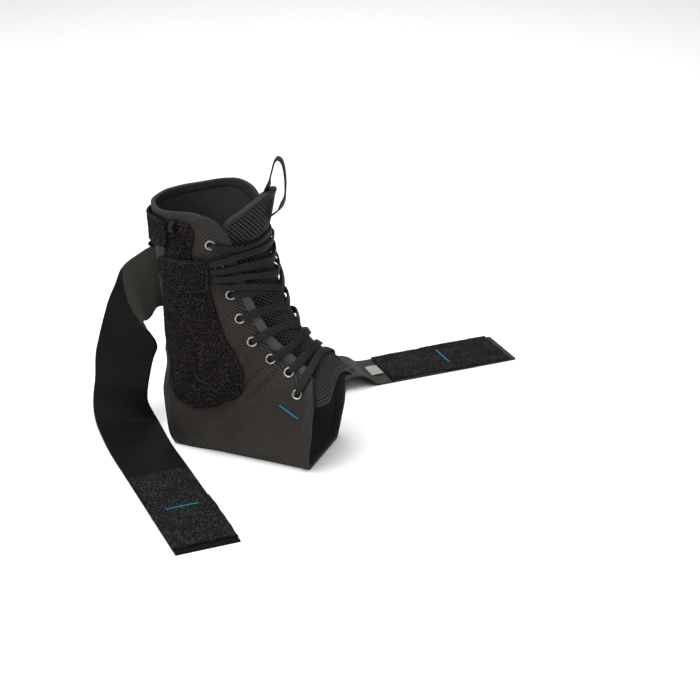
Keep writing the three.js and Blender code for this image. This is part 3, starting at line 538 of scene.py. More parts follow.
finishes = {
    "nylonDark": (0.0085, 0.0070, 0.0060), "nylonLight": (0.054, 0.047, 0.040), "nylonPitch": 0.0019,
    "tapeDark": (0.016, 0.015, 0.014), "tapeLight": (0.040, 0.038, 0.035),
    "gapTapeDark": (0.040, 0.040, 0.043), "gapTapeLight": (0.074, 0.075, 0.080),
    # the spacer mesh's darkest colour is painted shade, seen in the dents of its holes
    "meshHoleShade": (0.0010, 0.0010, 0.0011), "meshLight": (0.046, 0.046, 0.045),
    "laceDark": (0.0060, 0.0056, 0.0060), "laceLight": (0.0215, 0.0203, 0.0215),
    "pileDark": (0.0040, 0.0032, 0.0030), "pileLight": (0.046, 0.038, 0.040),
    "tabDark": (0.0042, 0.0038, 0.0042), "tabLight": (0.048, 0.044, 0.048),
    "strapDark": (0.0045, 0.0045, 0.0043), "strapLight": (0.0100, 0.0100, 0.0096),
    # the olive pair is painted light: the strap's elastic made lighter for faces turned up to the light,
    # keeping its olive tint
    "oliveDark": (0.022, 0.023, 0.019), "oliveLight": (0.043, 0.044, 0.037),
    "hookDark": (0.0045, 0.0045, 0.0047), "hookLight": (0.066, 0.066, 0.064),
    "liningDark": (0.020, 0.020, 0.020), "liningLight": (0.040, 0.040, 0.040),
    "teal": (0.004, 0.085, 0.145), "tealLight": (0.018, 0.22, 0.31),
    "threadDark": (0.016, 0.015, 0.014), "nickel": (0.33, 0.315, 0.285),
    "label": (0.34, 0.34, 0.33), "labelShade": (0.15, 0.15, 0.145),
}


def nylonMaterial():
    material, tree, shader, cloth, place = startMaterial("ballistic_nylon", 0.62, specular=0.13)
    split = addNode(tree, "SeparateXYZ", {0: place}).outputs
    onward = calc(tree, "ADD", split[0], calc(tree, "ABSOLUTE", split[1]))
    laid = addNode(tree, "CombineXYZ", {0: onward, 1: split[2]}).outputs[0]
    weave = useGroup(tree, "weave", {"Cloth": laid, "Pitch": finishes["nylonPitch"], "Turn": 0.72})
    tone = useGroup(tree, "tone", {"Place": place, "Size": 0.035})
    slow = calc(tree, "MULTIPLY_ADD", tone["Tone"], 0.7, 0.25)
    lit = calc(tree, "MULTIPLY", calc(tree, "POWER", weave["Height"], 2.0), slow, clamp=True)
    dye(shader, tree, lit, finishes["nylonDark"], finishes["nylonLight"])
    rough = addNode(tree, "MapRange", {"Value": weave["Height"], "To Min": 0.78, "To Max": 0.52})
    tree.links.new(rough.outputs[0], shader.inputs["Roughness"])
    bumpUp(tree, shader, weave["Height"], 0.00030)
    return material


def tapeMaterial(name, dark, light, pitch=0.0006, turn=0.0, specular=0.09):
    material, tree, shader, cloth, place = startMaterial(name, 0.55, specular=specular)
    ribs = useGroup(tree, "ribs", {"Cloth": cloth, "Pitch": pitch, "Turn": turn})
    tone = useGroup(tree, "tone", {"Place": place, "Size": 0.02})
    lit = litBy(tree, ribs["Height"], tone["Tone"], 0.9, 0.2)
    dye(shader, tree, lit, finishes[dark], finishes[light])
    bumpUp(tree, shader, ribs["Height"], 0.00012)
    return material


def elasticMaterial(name, before, after, crease, slant, around):
    # painted light: past a slanted crease the strap's black and its olive copy, painted lighter as if turned
    # up to the light, change places
    material, tree, shader, cloth, place = startMaterial(name, 0.55, specular=0.03)
    split = addNode(tree, "SeparateXYZ", {0: cloth}).outputs
    turns = calc(tree, "MULTIPLY_ADD", split[1], 4 / around, -2.0)
    across = calc(tree, "SUBTRACT", 1.0, calc(tree, "ABSOLUTE", turns))
    line = calc(tree, "MULTIPLY_ADD", across, slant, crease)
    gone = calc(tree, "SUBTRACT", split[0], line)
    past = addNode(tree, "MapRange", {"Value": gone, "From Min": -0.0003, "From Max": 0.0003}).outputs[0]
    ribs = useGroup(tree, "ribs", {"Cloth": cloth, "Pitch": 0.0011, "Turn": math.pi / 2})
    tone = useGroup(tree, "tone", {"Place": place, "Size": 0.02})
    lit = litBy(tree, ribs["Height"], tone["Tone"], 0.9, 0.2)
    first = mixColour(tree, lit, finishes[before + "Dark"], finishes[before + "Light"])
    second = mixColour(tree, lit, finishes[after + "Dark"], finishes[after + "Light"])
    dye(shader, tree, past, first, second)
    bumpUp(tree, shader, ribs["Height"], 0.00012)
    return material


def pileMaterial(name, dark, light, size=0.0012, rowPitch=0.0):
    material, tree, shader, cloth, place = startMaterial(name, 0.95, specular=0.05)
    pile = useGroup(tree, "pile", {"Place": place, "Size": size})
    tone = useGroup(tree, "tone", {"Place": place, "Size": 0.012})
    lit = litBy(tree, pile["Fibre"], tone["Tone"], 1.2, 0.0)
    if rowPitch:
        rows = useGroup(tree, "ribs", {"Cloth": cloth, "Pitch": rowPitch, "Turn": 0.0})
        lit = calc(tree, "MULTIPLY", lit, calc(tree, "MULTIPLY_ADD", rows["Height"], 1.4, 0.1), clamp=True)
    dye(shader, tree, lit, finishes[dark], finishes[light])
    bumpUp(tree, shader, pile["Height"], 0.0009)
    return material


def meshMaterial():
    material, tree, shader, cloth, place = startMaterial("spacer_mesh", 0.7)
    holes = useGroup(tree, "holes", {
        "Cloth": cloth, "PitchX": tongue["pitchX"] * mm, "PitchY": tongue["pitchY"] * mm})
    strands = useGroup(tree, "ribs", {"Cloth": cloth, "Pitch": 0.0007, "Turn": 0.6})
    # painted shade: the holes are painted near black, as the cloth has only shallow dents there
    lit = calc(tree, "MULTIPLY", holes["Net"], calc(tree, "MULTIPLY_ADD", strands["Height"], 0.5, 0.5))
    dye(shader, tree, lit, finishes["meshHoleShade"], finishes["meshLight"])
    bumpUp(tree, shader, strands["Height"], 0.00015)
    return material


def threadMaterial(name, dark, light):
    material, tree, shader, cloth, place = startMaterial(name, 0.42)
    tone = useGroup(tree, "tone", {"Place": place, "Size": 0.0012})
    dye(shader, tree, tone["Tone"], dark, light)
    bumpUp(tree, shader, tone["Tone"], 0.0001)
    return material


def nickelMaterial():
    material, tree, shader, cloth, place = startMaterial("nickel", 0.24, metallic=1.0)
    tone = useGroup(tree, "tone", {"Place": place, "Size": 0.004})
    dye(shader, tree, tone["Tone"], tuple(0.8 * c for c in finishes["nickel"]), finishes["nickel"])
    rough = addNode(tree, "MapRange", {"Value": tone["Tone"], "To Min": 0.14, "To Max": 0.28})
    tree.links.new(rough.outputs[0], shader.inputs["Roughness"])
    bumpUp(tree, shader, tone["Tone"], 0.00003)
    return material


def labelMaterial():
    material, tree, shader, cloth, place = startMaterial("bare_label", 0.7)
    ribs = useGroup(tree, "ribs", {"Cloth": cloth, "Pitch": 0.0007, "Turn": 0.0})
    tone = useGroup(tree, "tone", {"Place": place, "Size": 0.005})
    lit = calc(tree, "MULTIPLY_ADD", tone["Tone"], 0.6, 0.35)
    dye(shader, tree, lit, finishes["labelShade"], finishes["label"])
    bumpUp(tree, shader, ribs["Height"], 0.0001)
    return material


# Shell: one cloth wall with its creases, open heel and ring holes

shell = {
    "rows": 172, "columns": 232, "hiddenEdge": 2.2, "heelRim": 2.0, "holeRadius": 2.9,
    "undulation": 0.45, "creaseHeight": 2.2,
    # creases on each side: start and end places, height share, half width in mm
    "creases": [
        [(0.762, 0.480), (0.738, 0.272), 1.45, 2.8],
        [(0.790, 0.640), (0.800, 0.340), 0.60, 4.2],
        [(0.800, 0.700), (0.790, 0.470), 0.40, 5.0],
        [(0.640, 0.420), (0.610, 0.330), 0.45, 3.0],
        [(0.420, 0.400), (0.500, 0.345), 0.30, 3.5],
        [(0.860, 0.640), (0.930, 0.560), 0.30, 6.0],
        [(0.545, 0.880), (0.470, 0.800), 0.45, 4.0],
    ],
    "rings": [
        (0.090, 0.385), (0.205, 0.350), (0.325, 0.330), (0.440, 0.325),
        (0.565, 0.305), (0.685, 0.257), (0.808, 0.247), (0.914, 0.350),
    ],
}


def creaseHeight(points):
    # Soft ridges that run between two places, the same way on both sides with small differences.
    total = np.zeros(len(points))
    for number, (start, end, share, half) in enumerate(shell["creases"]):
        for side in (-1, 1):
            drift = 0.0 if side < 0 else 0.012 * math.sin(3.1 * number + 1)
            first = formPoint(start[0] + drift, side * start[1])
            last = formPoint(end[0] + drift, side * end[1])
            way = last - first
            reach = np.linalg.norm(way)
            inside = np.clip(((points - first) @ way) / reach**2, 0, 1)
            nearest = first + inside[:, None] * way
            away = np.linalg.norm(points - nearest, axis=1)
            fade = np.sin(np.pi * np.clip(inside, 0.02, 0.98)) ** 0.7
            bow = np.exp(-((away / half) ** 2)) - 0.55 * np.exp(-(((away - 1.9 * half) / half) ** 2))
            total += shell["creaseHeight"] * share * bow * fade
    return total


def clothLevel(along, around, points):
    fromTop = np.abs(tableAt(form["topEdge"], 1 - np.abs(around))[0] - along) * 200
    edge = smoothStep(0, 14, fromTop)
    slow = ripple(points[:, 2] / 11 + points[:, 0] / 17, around * 9, 5) * shell["undulation"]
    return slow * edge * 0.8 + creaseHeight(points)


def heelDistance(points, along, around):
    # Signed distance in mm from the heel outline, positive outside it.
    half = np.array(heelOutline(0.0))
    outline = formPoint(half[:, 0], half[:, 1])
    nearest = np.full(len(points), 1e9)
    for spot in outline:
        nearest = np.minimum(nearest, np.linalg.norm(points - spot, axis=1))
    rows = form["heelEdge"]
    share = tableAt(rows, np.clip(along, rows[0][0], rows[-1][0]))[0]
    inside = (along > rows[0][0]) & (along < rows[-1][0]) & (1 - np.abs(around) < share)
    return np.where(inside, -nearest, nearest)


def heelOutline(inset, steps=60):
    # Places once round the open heel, moved outward over the cloth by inset mm.
    rows = np.array(form["heelEdge"])
    length = np.concatenate([[0], np.cumsum(np.hypot(np.diff(rows[:, 0]) * 260, np.diff(rows[:, 1]) * 130))])
    track = np.column_stack([length / length[-1], rows])
    along, share = tableAt(track, np.linspace(0, 1, steps + 1))
    near = np.stack([along, share - 1], 1)
    far = np.stack([along, -1 - share], 1)[1:-1][::-1]
    loop = np.concatenate([near, far])
    if inset:
        before, after = np.roll(loop, 1, 0), np.roll(loop, -1, 0)
        way = formPoint(after[:, 0], after[:, 1]) - formPoint(before[:, 0], before[:, 1])
        outward = -np.cross(way, formNormal(loop[:, 0], loop[:, 1]))
        loop = np.stack(shifted(loop[:, 0], loop[:, 1], outward, inset), 1)
    return loop


def addShell():
    places = {}

    def place(u, v):
        along, around = shellPlace(2 * v - 1, u, shell["hiddenEdge"])
        base = skin(along, around, 0)
        places["along"], places["around"], places["base"] = along, around, base
        lift = clothLevel(along, around, base)
        onFloor = base[:, 2] < 0.6
        return skin(along, around, np.where(onFloor, 0, lift))

    def outward(u, v):
        return formNormal(*shellPlace(2 * v - 1, u, shell["hiddenEdge"]))

    mesh = gridMesh(shell["rows"], shell["columns"], place, (252, 270), outward=outward)
    heel = heelDistance(places["base"], places["along"], places["around"])
    cut = [face for face in mesh.faces if min(heel[vert.index] for vert in face.verts) < shell["heelRim"]]
    bmesh.ops.delete(mesh, geom=cut, context="FACES")
    for side in (-1, 1):
        for along, around in shell["rings"]:
            middle = Vector(formPoint(along, side * around) * mm)
            radius = shell["holeRadius"] * mm
            close = 0.93 * radius
            near = [face for face in mesh.faces if (face.calc_center_median() - middle).length < close]
            bmesh.ops.delete(mesh, geom=near, context="FACES")
            for vert in mesh.verts:
                away = vert.co - middle
                if away.length < 1.25 * radius and vert.is_boundary:
                    vert.co = middle + away.normalized() * radius
    cloths = [materials["nylon"], materials["lining"]]
    piece = finishPiece("shell_cloth", mesh, cloths, ["shell"])
    giveWall(piece, form["wall"], inside=1)


# Tape bindings folded over the shell's edges

tape = {
    "gapLength": 132, "topLength": 250, "gapEnd": 0.997, "toeSteps": 128,
    "width": 7.0, "proud": 0.5, "step": 2.0, "pucker": 0.16,
    "gapTop": 170, "seamInset": 10.5, "stitchInset": 5.4, "stitchSpacing": 2.9, "stitchLength": 2.1,
    "stitchRadius": 0.26,
}


def tapeProfile():
    # Share of the way from the tape's inner edge to the rim, and level, once round.
    wall, proud = form["wall"], tape["proud"]
    face = [(0.0, 0.02), (0.05, proud * 0.8), (0.14, proud), (0.30, proud * 1.05), (0.50, proud * 1.1),
            (0.70, proud * 1.1), (0.84, proud)]
    rim = [(0.84 + 0.16 * math.sin(turn), -wall / 2 + (wall / 2 + proud) * math.cos(turn))
           for turn in np.linspace(0.35, math.pi - 0.35, 5)]
    under = [(share, -wall - level) for share, level in reversed(face)]
    return face + rim + under


def between(first, last, share):
    # along and around at a share of the way between two rows of places
    return first[:, 0] + (last[:, 0] - first[:, 0]) * share, first[:, 1] + (last[:, 1] - first[:, 1]) * share


def tapeMesh(outer, inner, length, closed):
    profile = np.array(tapeProfile() + tapeProfile()[:1])
    rows = len(outer) - 1
    steps = len(profile) - 1

    def place(u, v):
        i = np.rint(u * rows).astype(int)
        k = np.rint(v * steps).astype(int)
        share, level = profile[k, 0], profile[k, 1]
        along, around = between(inner[i], outer[i], share)
        wave = tape["pucker"] * ripple(u * length / 3.1, share * 2.0, 3)
        mid = formPoint(along, around)
        lift = np.where(mid[:, 2] < 0.6, 0, wave)
        return skin(along, around, level + lift)

    return gridMesh(rows, steps, place, (length, 22), closed=True, capped=not closed)


def pathLength(places):
    points = formPoint(places[:, 0], places[:, 1])
    return np.linalg.norm(np.diff(points, axis=0), axis=1).sum()


def stitchRuns(points, normals, keep, mesh):
    for run in np.split(np.arange(len(points)), np.where(~keep)[0]):
        run = run[keep[run]]
        if len(run) > 3:
            stitchMesh(points[run], normals[run], tape["stitchSpacing"], tape["stitchLength"],
                       tape["stitchRadius"], mesh)


def tapeStitches(outer, inner, name):
    # Stitch row on the tape near its inner edge, on both faces of the wall.
    along, around = between(outer, inner, tape["stitchInset"] / tape["width"])
    mesh = bmesh.new()
    for level, turn in ((tape["proud"] * 1.04, 1), (-form["wall"] - tape["proud"] * 1.04, -1)):
        points = skin(along, around, level)
        keep = points[:, 2] > (1.0 if turn > 0 else 0.0)
        normals = formNormal(along, around) * turn
        stitchRuns(points, normals, keep, mesh)
    finishPiece(name, mesh, [materials["darkThread"]])


def addTape(name, node, outer, inner, closed):
    mesh = tapeMesh(outer, inner, pathLength(outer), closed)
    finishPiece(name, mesh, [materials["tape"]], [node])
    tapeStitches(outer, inner, name + "_stitches")


def addBindings():
    gapSteps = int(tape["gapLength"] / tape["step"])
    topSteps = int(tape["topLength"] / tape["step"])
    across = np.concatenate([np.full(gapSteps, -1.0), np.linspace(-1, 1, topSteps + 1),
                             np.full(gapSteps, 1.0)])
    down = np.concatenate([np.linspace(tape["gapEnd"], 0, gapSteps + 1)[:-1], np.zeros(topSteps + 1),
                           np.linspace(0, tape["gapEnd"], gapSteps + 1)[1:]])
    outer = np.stack(shellPlace(across, down, 0.0), 1)
    inner = np.stack(shellPlace(across, down, tape["width"]), 1)
    mesh = tapeMesh(outer, inner, pathLength(outer), False)
    for face in mesh.faces:
        centre = face.calc_center_median() / mm
        face.material_index = 1 if centre.z < tape["gapTop"] else 0
    tapes = [materials["tape"], materials["gapTape"]]
    finishPiece("edge_tape", mesh, tapes, ["edge_binding"])
    tapeStitches(outer, inner, "edge_tape_stitches")
    across, down = np.linspace(-1, 1, tape["toeSteps"]), np.ones(tape["toeSteps"])
    outer = np.stack(shellPlace(across, down, 0.0), 1)
    inner = np.stack(shellPlace(across, down, tape["width"]), 1)
    addTape("toe_tape", "toe_binding", outer, inner, False)
    outer, inner = [np.vstack([row, row[:1]]) for row in (heelOutline(0.0), heelOutline(tape["width"]))]
    addTape("heel_tape", "heel_binding", outer, inner, True)
    seam = heelOutline(tape["seamInset"])
    points = skin(seam[:, 0], seam[:, 1], 0.12)
    keep = (points[:, 2] > 3) & (np.abs(points[:, 1]) > 12)
    mesh = bmesh.new()
    stitchRuns(points, formNormal(seam[:, 0], seam[:, 1]), keep, mesh)
    finishPiece("heel_seam_stitches", mesh, [materials["darkThread"]])


# Tongue: padded spacer mesh with its tape

tongue = {
    "thickness": 4.0, "sink": 0.9, "rows": 300, "columns": 104, "pitchX": 4.4, "pitchY": 4.0,
    "holeDepth": 1.1, "tapeWidth": 5.0, "stitchShare": 0.72,
    "half": [
        [-0.118, 0.050], [-0.103, 0.122], [-0.055, 0.225], [0.005, 0.310], [0.06, 0.320], [0.20, 0.290],
        [0.45, 0.258], [0.60, 0.238], [0.75, 0.212], [0.86, 0.225], [0.93, 0.300], [1.00, 0.395],
        [1.015, 0.400], [1.065, 0.325], [1.120, 0.220], [1.155, 0.120], [1.170, 0.050],
    ],
}


def openHalf(along):
    gapRows, topRows = form["frontGap"], form["topOpening"]
    gap = tableAt(gapRows, np.clip(along, gapRows[0][0], gapRows[-1][0]))[0]
    top = tableAt(topRows, np.clip(along, topRows[0][0], topRows[-1][0]))[0]
    return np.where(along < gapRows[0][0], top, gap)


def tongueTop(along, around):
    under = -form["wall"] - tape["proud"] - 0.8
    edge = openHalf(along)
    inside = np.clip((edge - np.abs(around)) / (0.55 * edge), 0, 1)
    return under + (-tongue["sink"] - under) * inside * inside * (3 - 2 * inside)


def tonguePlace(u, v, inset):
    first, last = tongue["half"][0][0], tongue["half"][-1][0]
    eased = (1 - np.cos(np.pi * u)) / 4 + u / 2
    along = first + (last - first) * eased
    down = formSlopes(np.clip(along, 0, 1), 0 * along)[0]
    along = along + inset / np.linalg.norm(down, axis=-1) * (1 - 2 * u)
    half = tableAt(tongue["half"], along)[0]
    turn = formSlopes(along, 0 * along + 0.2)[1]
    return along, (2 * v - 1) * np.maximum(half - inset / np.linalg.norm(turn, axis=-1), 0.01)


def addTongue():
    inset = tongue["tapeWidth"] - 1.0

    def place(u, v):
        along, around = tonguePlace(u, v, inset)
        base = skin(along, around, tongueTop(along, around))
        # cloth places that don't stretch: distance from the middle line and along it
        cloth["x"] = along * 200
        cloth["y"] = around * 128
        turnsX, turnsY = cloth["x"] / tongue["pitchX"], cloth["y"] / tongue["pitchY"]
        wave = np.cos(2 * np.pi * turnsX) * np.cos(2 * np.pi * turnsY)
        dent = -tongue["holeDepth"] * smoothStep(0.12, 0.6, wave)
        swell = 0.5 * ripple(along * 9, around * 7, 8)
        return skin(along, around, tongueTop(along, around) + dent + swell * 0.5 - 0.15)

    cloth = {}
    mesh = gridMesh(tongue["rows"], tongue["columns"], place, (1, 1),
                    outward=lambda u, v: formNormal(*tonguePlace(u, v, inset)))
    layer = mesh.loops.layers.uv["cloth"]
    for face in mesh.faces:
        for loop in face.loops:
            k = loop.vert.index
            loop[layer].uv = (cloth["x"][k] * mm, cloth["y"][k] * mm)
    cloths = [materials["mesh"], materials["lining"]]
    piece = finishPiece("tongue_mesh", mesh, cloths, ["tongue"])
    giveWall(piece, tongue["thickness"] - 1.3, inside=1)
    addTongueTape()


def tongueRim(inset):
    rows, columns = 90, 24
    steps, cross = np.linspace(0, 1, rows + 1), np.linspace(0, 1, columns + 1)
    down, over = steps[:-1], cross[:-1]
    sides = [(down, 0 * down), (0 * over + 1, over), (steps[::-1][:-1], 0 * down + 1),
             (0 * over, cross[::-1][:-1])]
    loop = np.concatenate([np.stack(tonguePlace(u, v, inset), 1) for u, v in sides])
    return np.vstack([loop, loop[:1]])


def addTongueTape():
    outer, inner = tongueRim(0.0), tongueRim(tongue["tapeWidth"])
    thick = tongue["thickness"]
    face = [(0.0, -0.5), (0.04, 0.25), (0.15, 0.38), (0.40, 0.42), (0.65, 0.38), (0.82, 0.2)]
    rim = [(0.82 + 0.18 * math.sin(turn), -thick / 2 + (thick / 2 + 0.1) * math.cos(turn))
           for turn in np.linspace(0.4, math.pi - 0.4, 5)]
    under = [(share, -thick - level) for share, level in reversed(face)]
    profile = np.array(face + rim + under + face[:1])
    rows, steps = len(outer) - 1, len(profile) - 1
    length = pathLength(outer)

    def place(u, v):
        i = np.rint(u * rows).astype(int)
        k = np.rint(v * steps).astype(int)
        share, level = profile[k, 0], profile[k, 1]
        along, around = between(inner[i], outer[i], share)
        return skin(along, around, tongueTop(along, around) + level + 0.12 * ripple(u * length / 3, share, 4))

    mesh = gridMesh(rows, steps, place, (length, 24), closed=True)
    finishPiece("tongue_tape", mesh, [materials["tape"]], ["tongue_binding"])
    along, around = between(outer, inner, tongue["stitchShare"])
    points = skin(along, around, tongueTop(along, around) + 0.42)
    mesh = stitchMesh(points, formNormal(along, around), tape["stitchSpacing"], tape["stitchLength"],
                      tape["stitchRadius"])
    finishPiece("tongue_tape_stitches", mesh, [materials["darkThread"]])


# Rings

ring = {
    # radius and level of the ring's section
    "profile": [
        (2.60, -2.9), (2.95, -2.9), (2.95, 0.22), (3.85, 0.20), (4.12, 0.40), (4.15, 0.66), (3.92, 0.94),
        (3.45, 1.10), (3.00, 1.02), (2.70, 0.74), (2.60, 0.35),
    ],
    "steps": 36,
}


def addRings():
    for word, side in (("near", -1), ("far", 1)):
        for number, (along, around) in enumerate(shell["rings"], 1):
            mesh = bmesh.new()
            verts = [mesh.verts.new((radius * mm, 0, level * mm)) for radius, level in ring["profile"]]
            edges = [mesh.edges.new((verts[i], verts[(i + 1) % len(verts)])) for i in range(len(verts))]
            bmesh.ops.spin(mesh, geom=verts + edges, cent=(0, 0, 0), axis=(0, 0, 1), dvec=(0, 0, 0),
                           angle=2 * math.pi, steps=ring["steps"], use_merge=True)
            bmesh.ops.remove_doubles(mesh, verts=mesh.verts, dist=1e-7)
            bmesh.ops.recalc_face_normals(mesh, faces=mesh.faces)
            normal = Vector(formNormal(along, side * around))
            place = Matrix.Translation(Vector(formPoint(along, side * around)) * mm)
            mesh.transform(place @ normal.to_track_quat("Z", "Y").to_matrix().to_4x4())
            finishPiece(f"{word}_ring_{number}", mesh, [materials["nickel"]],
                        [f"{word}_eyelet_{number}"])


# Laces

lace = {
    "width": 6.4, "thickness": 1.3, "overBinding": 1.9, "overMesh": 0.5,
    "middles": [
        (0.126, 0.113), (0.222, 0.250), (0.345, 0.392), (0.445, 0.485),
        (0.562, 0.606), (0.690, 0.669), (0.803, 0.782), (0.905, 0.860),
    ],
    "tabRuns": [(0.174, 0.150, 0.158), (0.206, 0.207, 0.235), (0.238, 0.262, 0.310), (0.270, 0.312, 0.386)],
    "tabFront": 0.394,
}


def laceBand(name, places, widths, slotNodes, seed):
    # Lace through places (along, around, level): flat, soft edged, a little twisted.
    places = np.array(places)
    middles = formPoint(places[:, 0], places[:, 1])
    normals = formNormal(places[:, 0], places[:, 1])
    middles = middles + normals * places[:, 2:3]
    way = np.gradient(middles, axis=0)
    edges = np.cross(normals, way)
    edges /= np.linalg.norm(edges, axis=1, keepdims=True)
    twist = 0.16 * np.sin(np.linspace(0, 5, len(places)) + seed)
    twist[[0, 1, -2, -1]] = 0
    edges = edges + normals * twist[:, None]
    length = np.linalg.norm(np.diff(middles, axis=0), axis=1).sum()

    def shape(u, x, y):
        crown = 0.18 * (1 - x**2) * np.sign(y)
        ridges = 0.05 * np.sin(u * length / 1.1 * 2 * np.pi + np.abs(x) * 2.2) * np.sign(y)
        return crown + ridges

    mesh = ribbonMesh(middles, edges, widths, lace["thickness"], int(length / 0.35), 12, shape, roundness=0.3)
    finishPiece(name, mesh, [materials["lace"]], slotNodes)


def addLaces():
    for number, (ringAlong, ringAround) in enumerate(shell["rings"], 1):
        quarter, middle = lace["middles"][number - 1]

        def alongAt(around):
            share = abs(around) / ringAround
            return (middle * (1 - share) * (1 - 2 * share) + 4 * quarter * share * (1 - share)
                    + ringAlong * share * (2 * share - 1))

        turn = np.linalg.norm(formSlopes(np.array(ringAlong), np.array(ringAround))[1])
        half = []
        for distance, level, width in ((0.0, -1.6, 3.0), (0.3, 0.1, 3.2), (1.6, 1.9, 3.9), (4.2, 2.35, 5.4),
                                       (8.0, 2.1, 6.2)):
            around = ringAround - distance / turn
            half.append((alongAt(around), around, level, width))
        reach = half[-1][1]
        for share in (0.78, 0.56, 0.36, 0.18):
            around = reach * share
            along = alongAt(around)
            gap = float(openHalf(np.array(along))) - 0.025
            inside = min(max((gap - around) / gap, 0), 1)
            level = lace["overBinding"] + (lace["overMesh"] - lace["overBinding"]) * min(1, 1.5 * inside)
            half.append((along, around, level, lace["width"]))
        places = [(a, -r, l) for a, r, l, w in half] + [(middle, 0, lace["overMesh"])]
        places += [(a, r, l) for a, r, l, w in half[::-1]]
        widths = [w for *_, w in half] + [lace["width"]] + [w for *_, w in half[::-1]]
        laceBand(f"lace_band_{number}", places, widths, [f"lace_{number}"], number)
    for number, (tabAlong, edgeAlong, middle) in enumerate(lace["tabRuns"], 1):
        start = lace["tabFront"]
        levels = [[0, 2.4], [0.10, 2.6], [0.20, 3.6], [0.27, 4.0], [0.32, 4.55], [0.37, 4.45], [start, 3.9]]
        route = [[0, middle], [0.20, edgeAlong], [0.30, (edgeAlong + tabAlong) / 2], [start, tabAlong]]
        around = np.linspace(-start, start, 17)
        along = tableAt(route, np.abs(around))[0]
        level = tableAt(levels, np.abs(around))[0]
        widths = 5.2 - 0.7 * smoothStep(0.30, start, np.abs(around))
        laceBand(f"tab_lace_band_{number}", np.stack([along, around, level], 1), widths,
                 [f"tab_lace_{number}"], number + 3)


# Loop fields and hook tabs

pile = {
    "fieldTop": 1.8, "fieldThickness": 1.1, "tabTop": 4.4, "tabThickness": 1.7, "fuzz": 0.16,
    "loopField": [
        [0.000, 0.610, 0.500], [0.030, 0.655, 0.472], [0.080, 0.665, 0.476], [0.145, 0.668, 0.490],
        [0.220, 0.710, 0.462], [0.290, 0.748, 0.432], [0.370, 0.795, 0.428], [0.450, 0.825, 0.430],
        [0.530, 0.765, 0.418], [0.600, 0.688, 0.392], [0.655, 0.635, 0.382], [0.700, 0.575, 0.400],
        [0.730, 0.515, 0.435], [0.745, 0.478, 0.458],
    ],
    "laceTab": [
        [0.152, 0.680, 0.425], [0.165, 0.715, 0.402], [0.190, 0.735, 0.400], [0.225, 0.730, 0.408],
        [0.255, 0.668, 0.418], [0.280, 0.590, 0.424], [0.293, 0.500, 0.440],
    ],
    "rearTab": [
        [0.400, 0.222, 0.93], [0.440, 0.220, 1.00], [0.600, 0.185, 1.00], [0.800, 0.120, 1.00],
        [1.000, 0.080, 1.00], [1.200, 0.066, 1.00], [1.320, 0.062, 0.97], [1.360, 0.060, 0.80],
        [1.376, 0.060, 0.55],
    ],
    "rearTabHeight": 24, "stitchInset": 1.8,
}


def edgeRoll(u, v, height, width, soft):
    # 0 at a patch's edge, 1 a little inside it.
    away = np.minimum(np.minimum(u, 1 - u) * height, np.minimum(v, 1 - v) * width)
    return 1 - np.exp(-np.maximum(away, 0) / soft)


def addPatch(name, placeOf, size, top, thickness, material, stands, seed, wave=0.25):
    height, width = size
    rows, columns = int(height / 0.8), int(width / 0.8)

    def place(u, v):
        along, around = placeOf(u, v)
        roll = edgeRoll(u, v, height, width, 0.7)
        fuzz = np.random.default_rng(seed).normal(0, pile["fuzz"], len(u))
        level = top - thickness * 0.75 * (1 - roll) + fuzz * (0.4 + 0.6 * roll)
        level = level + wave * ripple(u * height / 7, v * width / 7, seed)
        return skin(along, around, level)

    mesh = gridMesh(rows, columns, place, size, outward=lambda u, v: formNormal(*placeOf(u, v)))
    piece = finishPiece(name, mesh, [material], stands)
    giveWall(piece, thickness * 0.9)


def borderStitches(name, placeOf, size, level, material):
    height, width = size
    du, dv = pile["stitchInset"] / height, pile["stitchInset"] / width
    steps = np.linspace(0, 1, 40)
    still = 0 * steps
    acrossU, acrossV = (1 - 2 * du) * steps, (1 - 2 * dv) * steps
    u = np.concatenate([du + still, du + acrossU, 1 - du + still, 1 - du - acrossU])
    v = np.concatenate([dv + acrossV, 1 - dv + still, 1 - dv - acrossV, dv + still])
    along, around = placeOf(u, v)
    points = skin(along, around, level)
    mesh = stitchMesh(points, formNormal(along, around), 2.3, 2.2, 0.3)
    finishPiece(name, mesh, [material])


def tablePlace(rows, side):
    first, last = rows[0][0], rows[-1][0]

    def placeOf(u, v):
        along = first + (last - first) * u
        rear, front = tableAt(rows, along)
        return along, side * (rear + (front - rear) * v)

    return placeOf


def rearTabPlace(u, v):
    rows = pile["rearTab"]
    around = rows[0][0] + (rows[-1][0] - rows[0][0]) * v
    middle, share = tableAt(rows, around)
    down = np.linalg.norm(formSlopes(middle, around)[0], axis=-1)
    return middle + (u - 0.5) * share * pile["rearTabHeight"] / down, around


def addPatches():
    for word, side in (("near", -1), ("far", 1)):
        addPatch(f"{word}_loop_pile", tablePlace(pile["loopField"], side), (158, 56), pile["fieldTop"],
                 pile["fieldThickness"], materials["pile"], [f"{word}_loop_field"], 21 + side)
        borderStitches(f"{word}_loop_pile_stitches", tablePlace(pile["loopField"], side), (158, 56),
                       pile["fieldTop"] - 0.1, materials["darkThread"])
    addPatch("lace_tab_pile", tablePlace(pile["laceTab"], -1), (29, 50), pile["tabTop"], pile["tabThickness"],
             materials["tabPile"], ["lace_tab"], 31)
    borderStitches("lace_tab_stitches", tablePlace(pile["laceTab"], -1), (29, 50), pile["tabTop"] + 0.05,
                   materials["greyThread"])
    addPatch("rear_tab_pile", rearTabPlace, (24, 128), pile["tabTop"], pile["tabThickness"],
             materials["tabPile"], ["rear_tab"], 33)
    borderStitches("rear_tab_stitches", rearTabPlace, (24, 128), pile["tabTop"] + 0.05,
                   materials["greyThread"])


# Straps with their hook ends

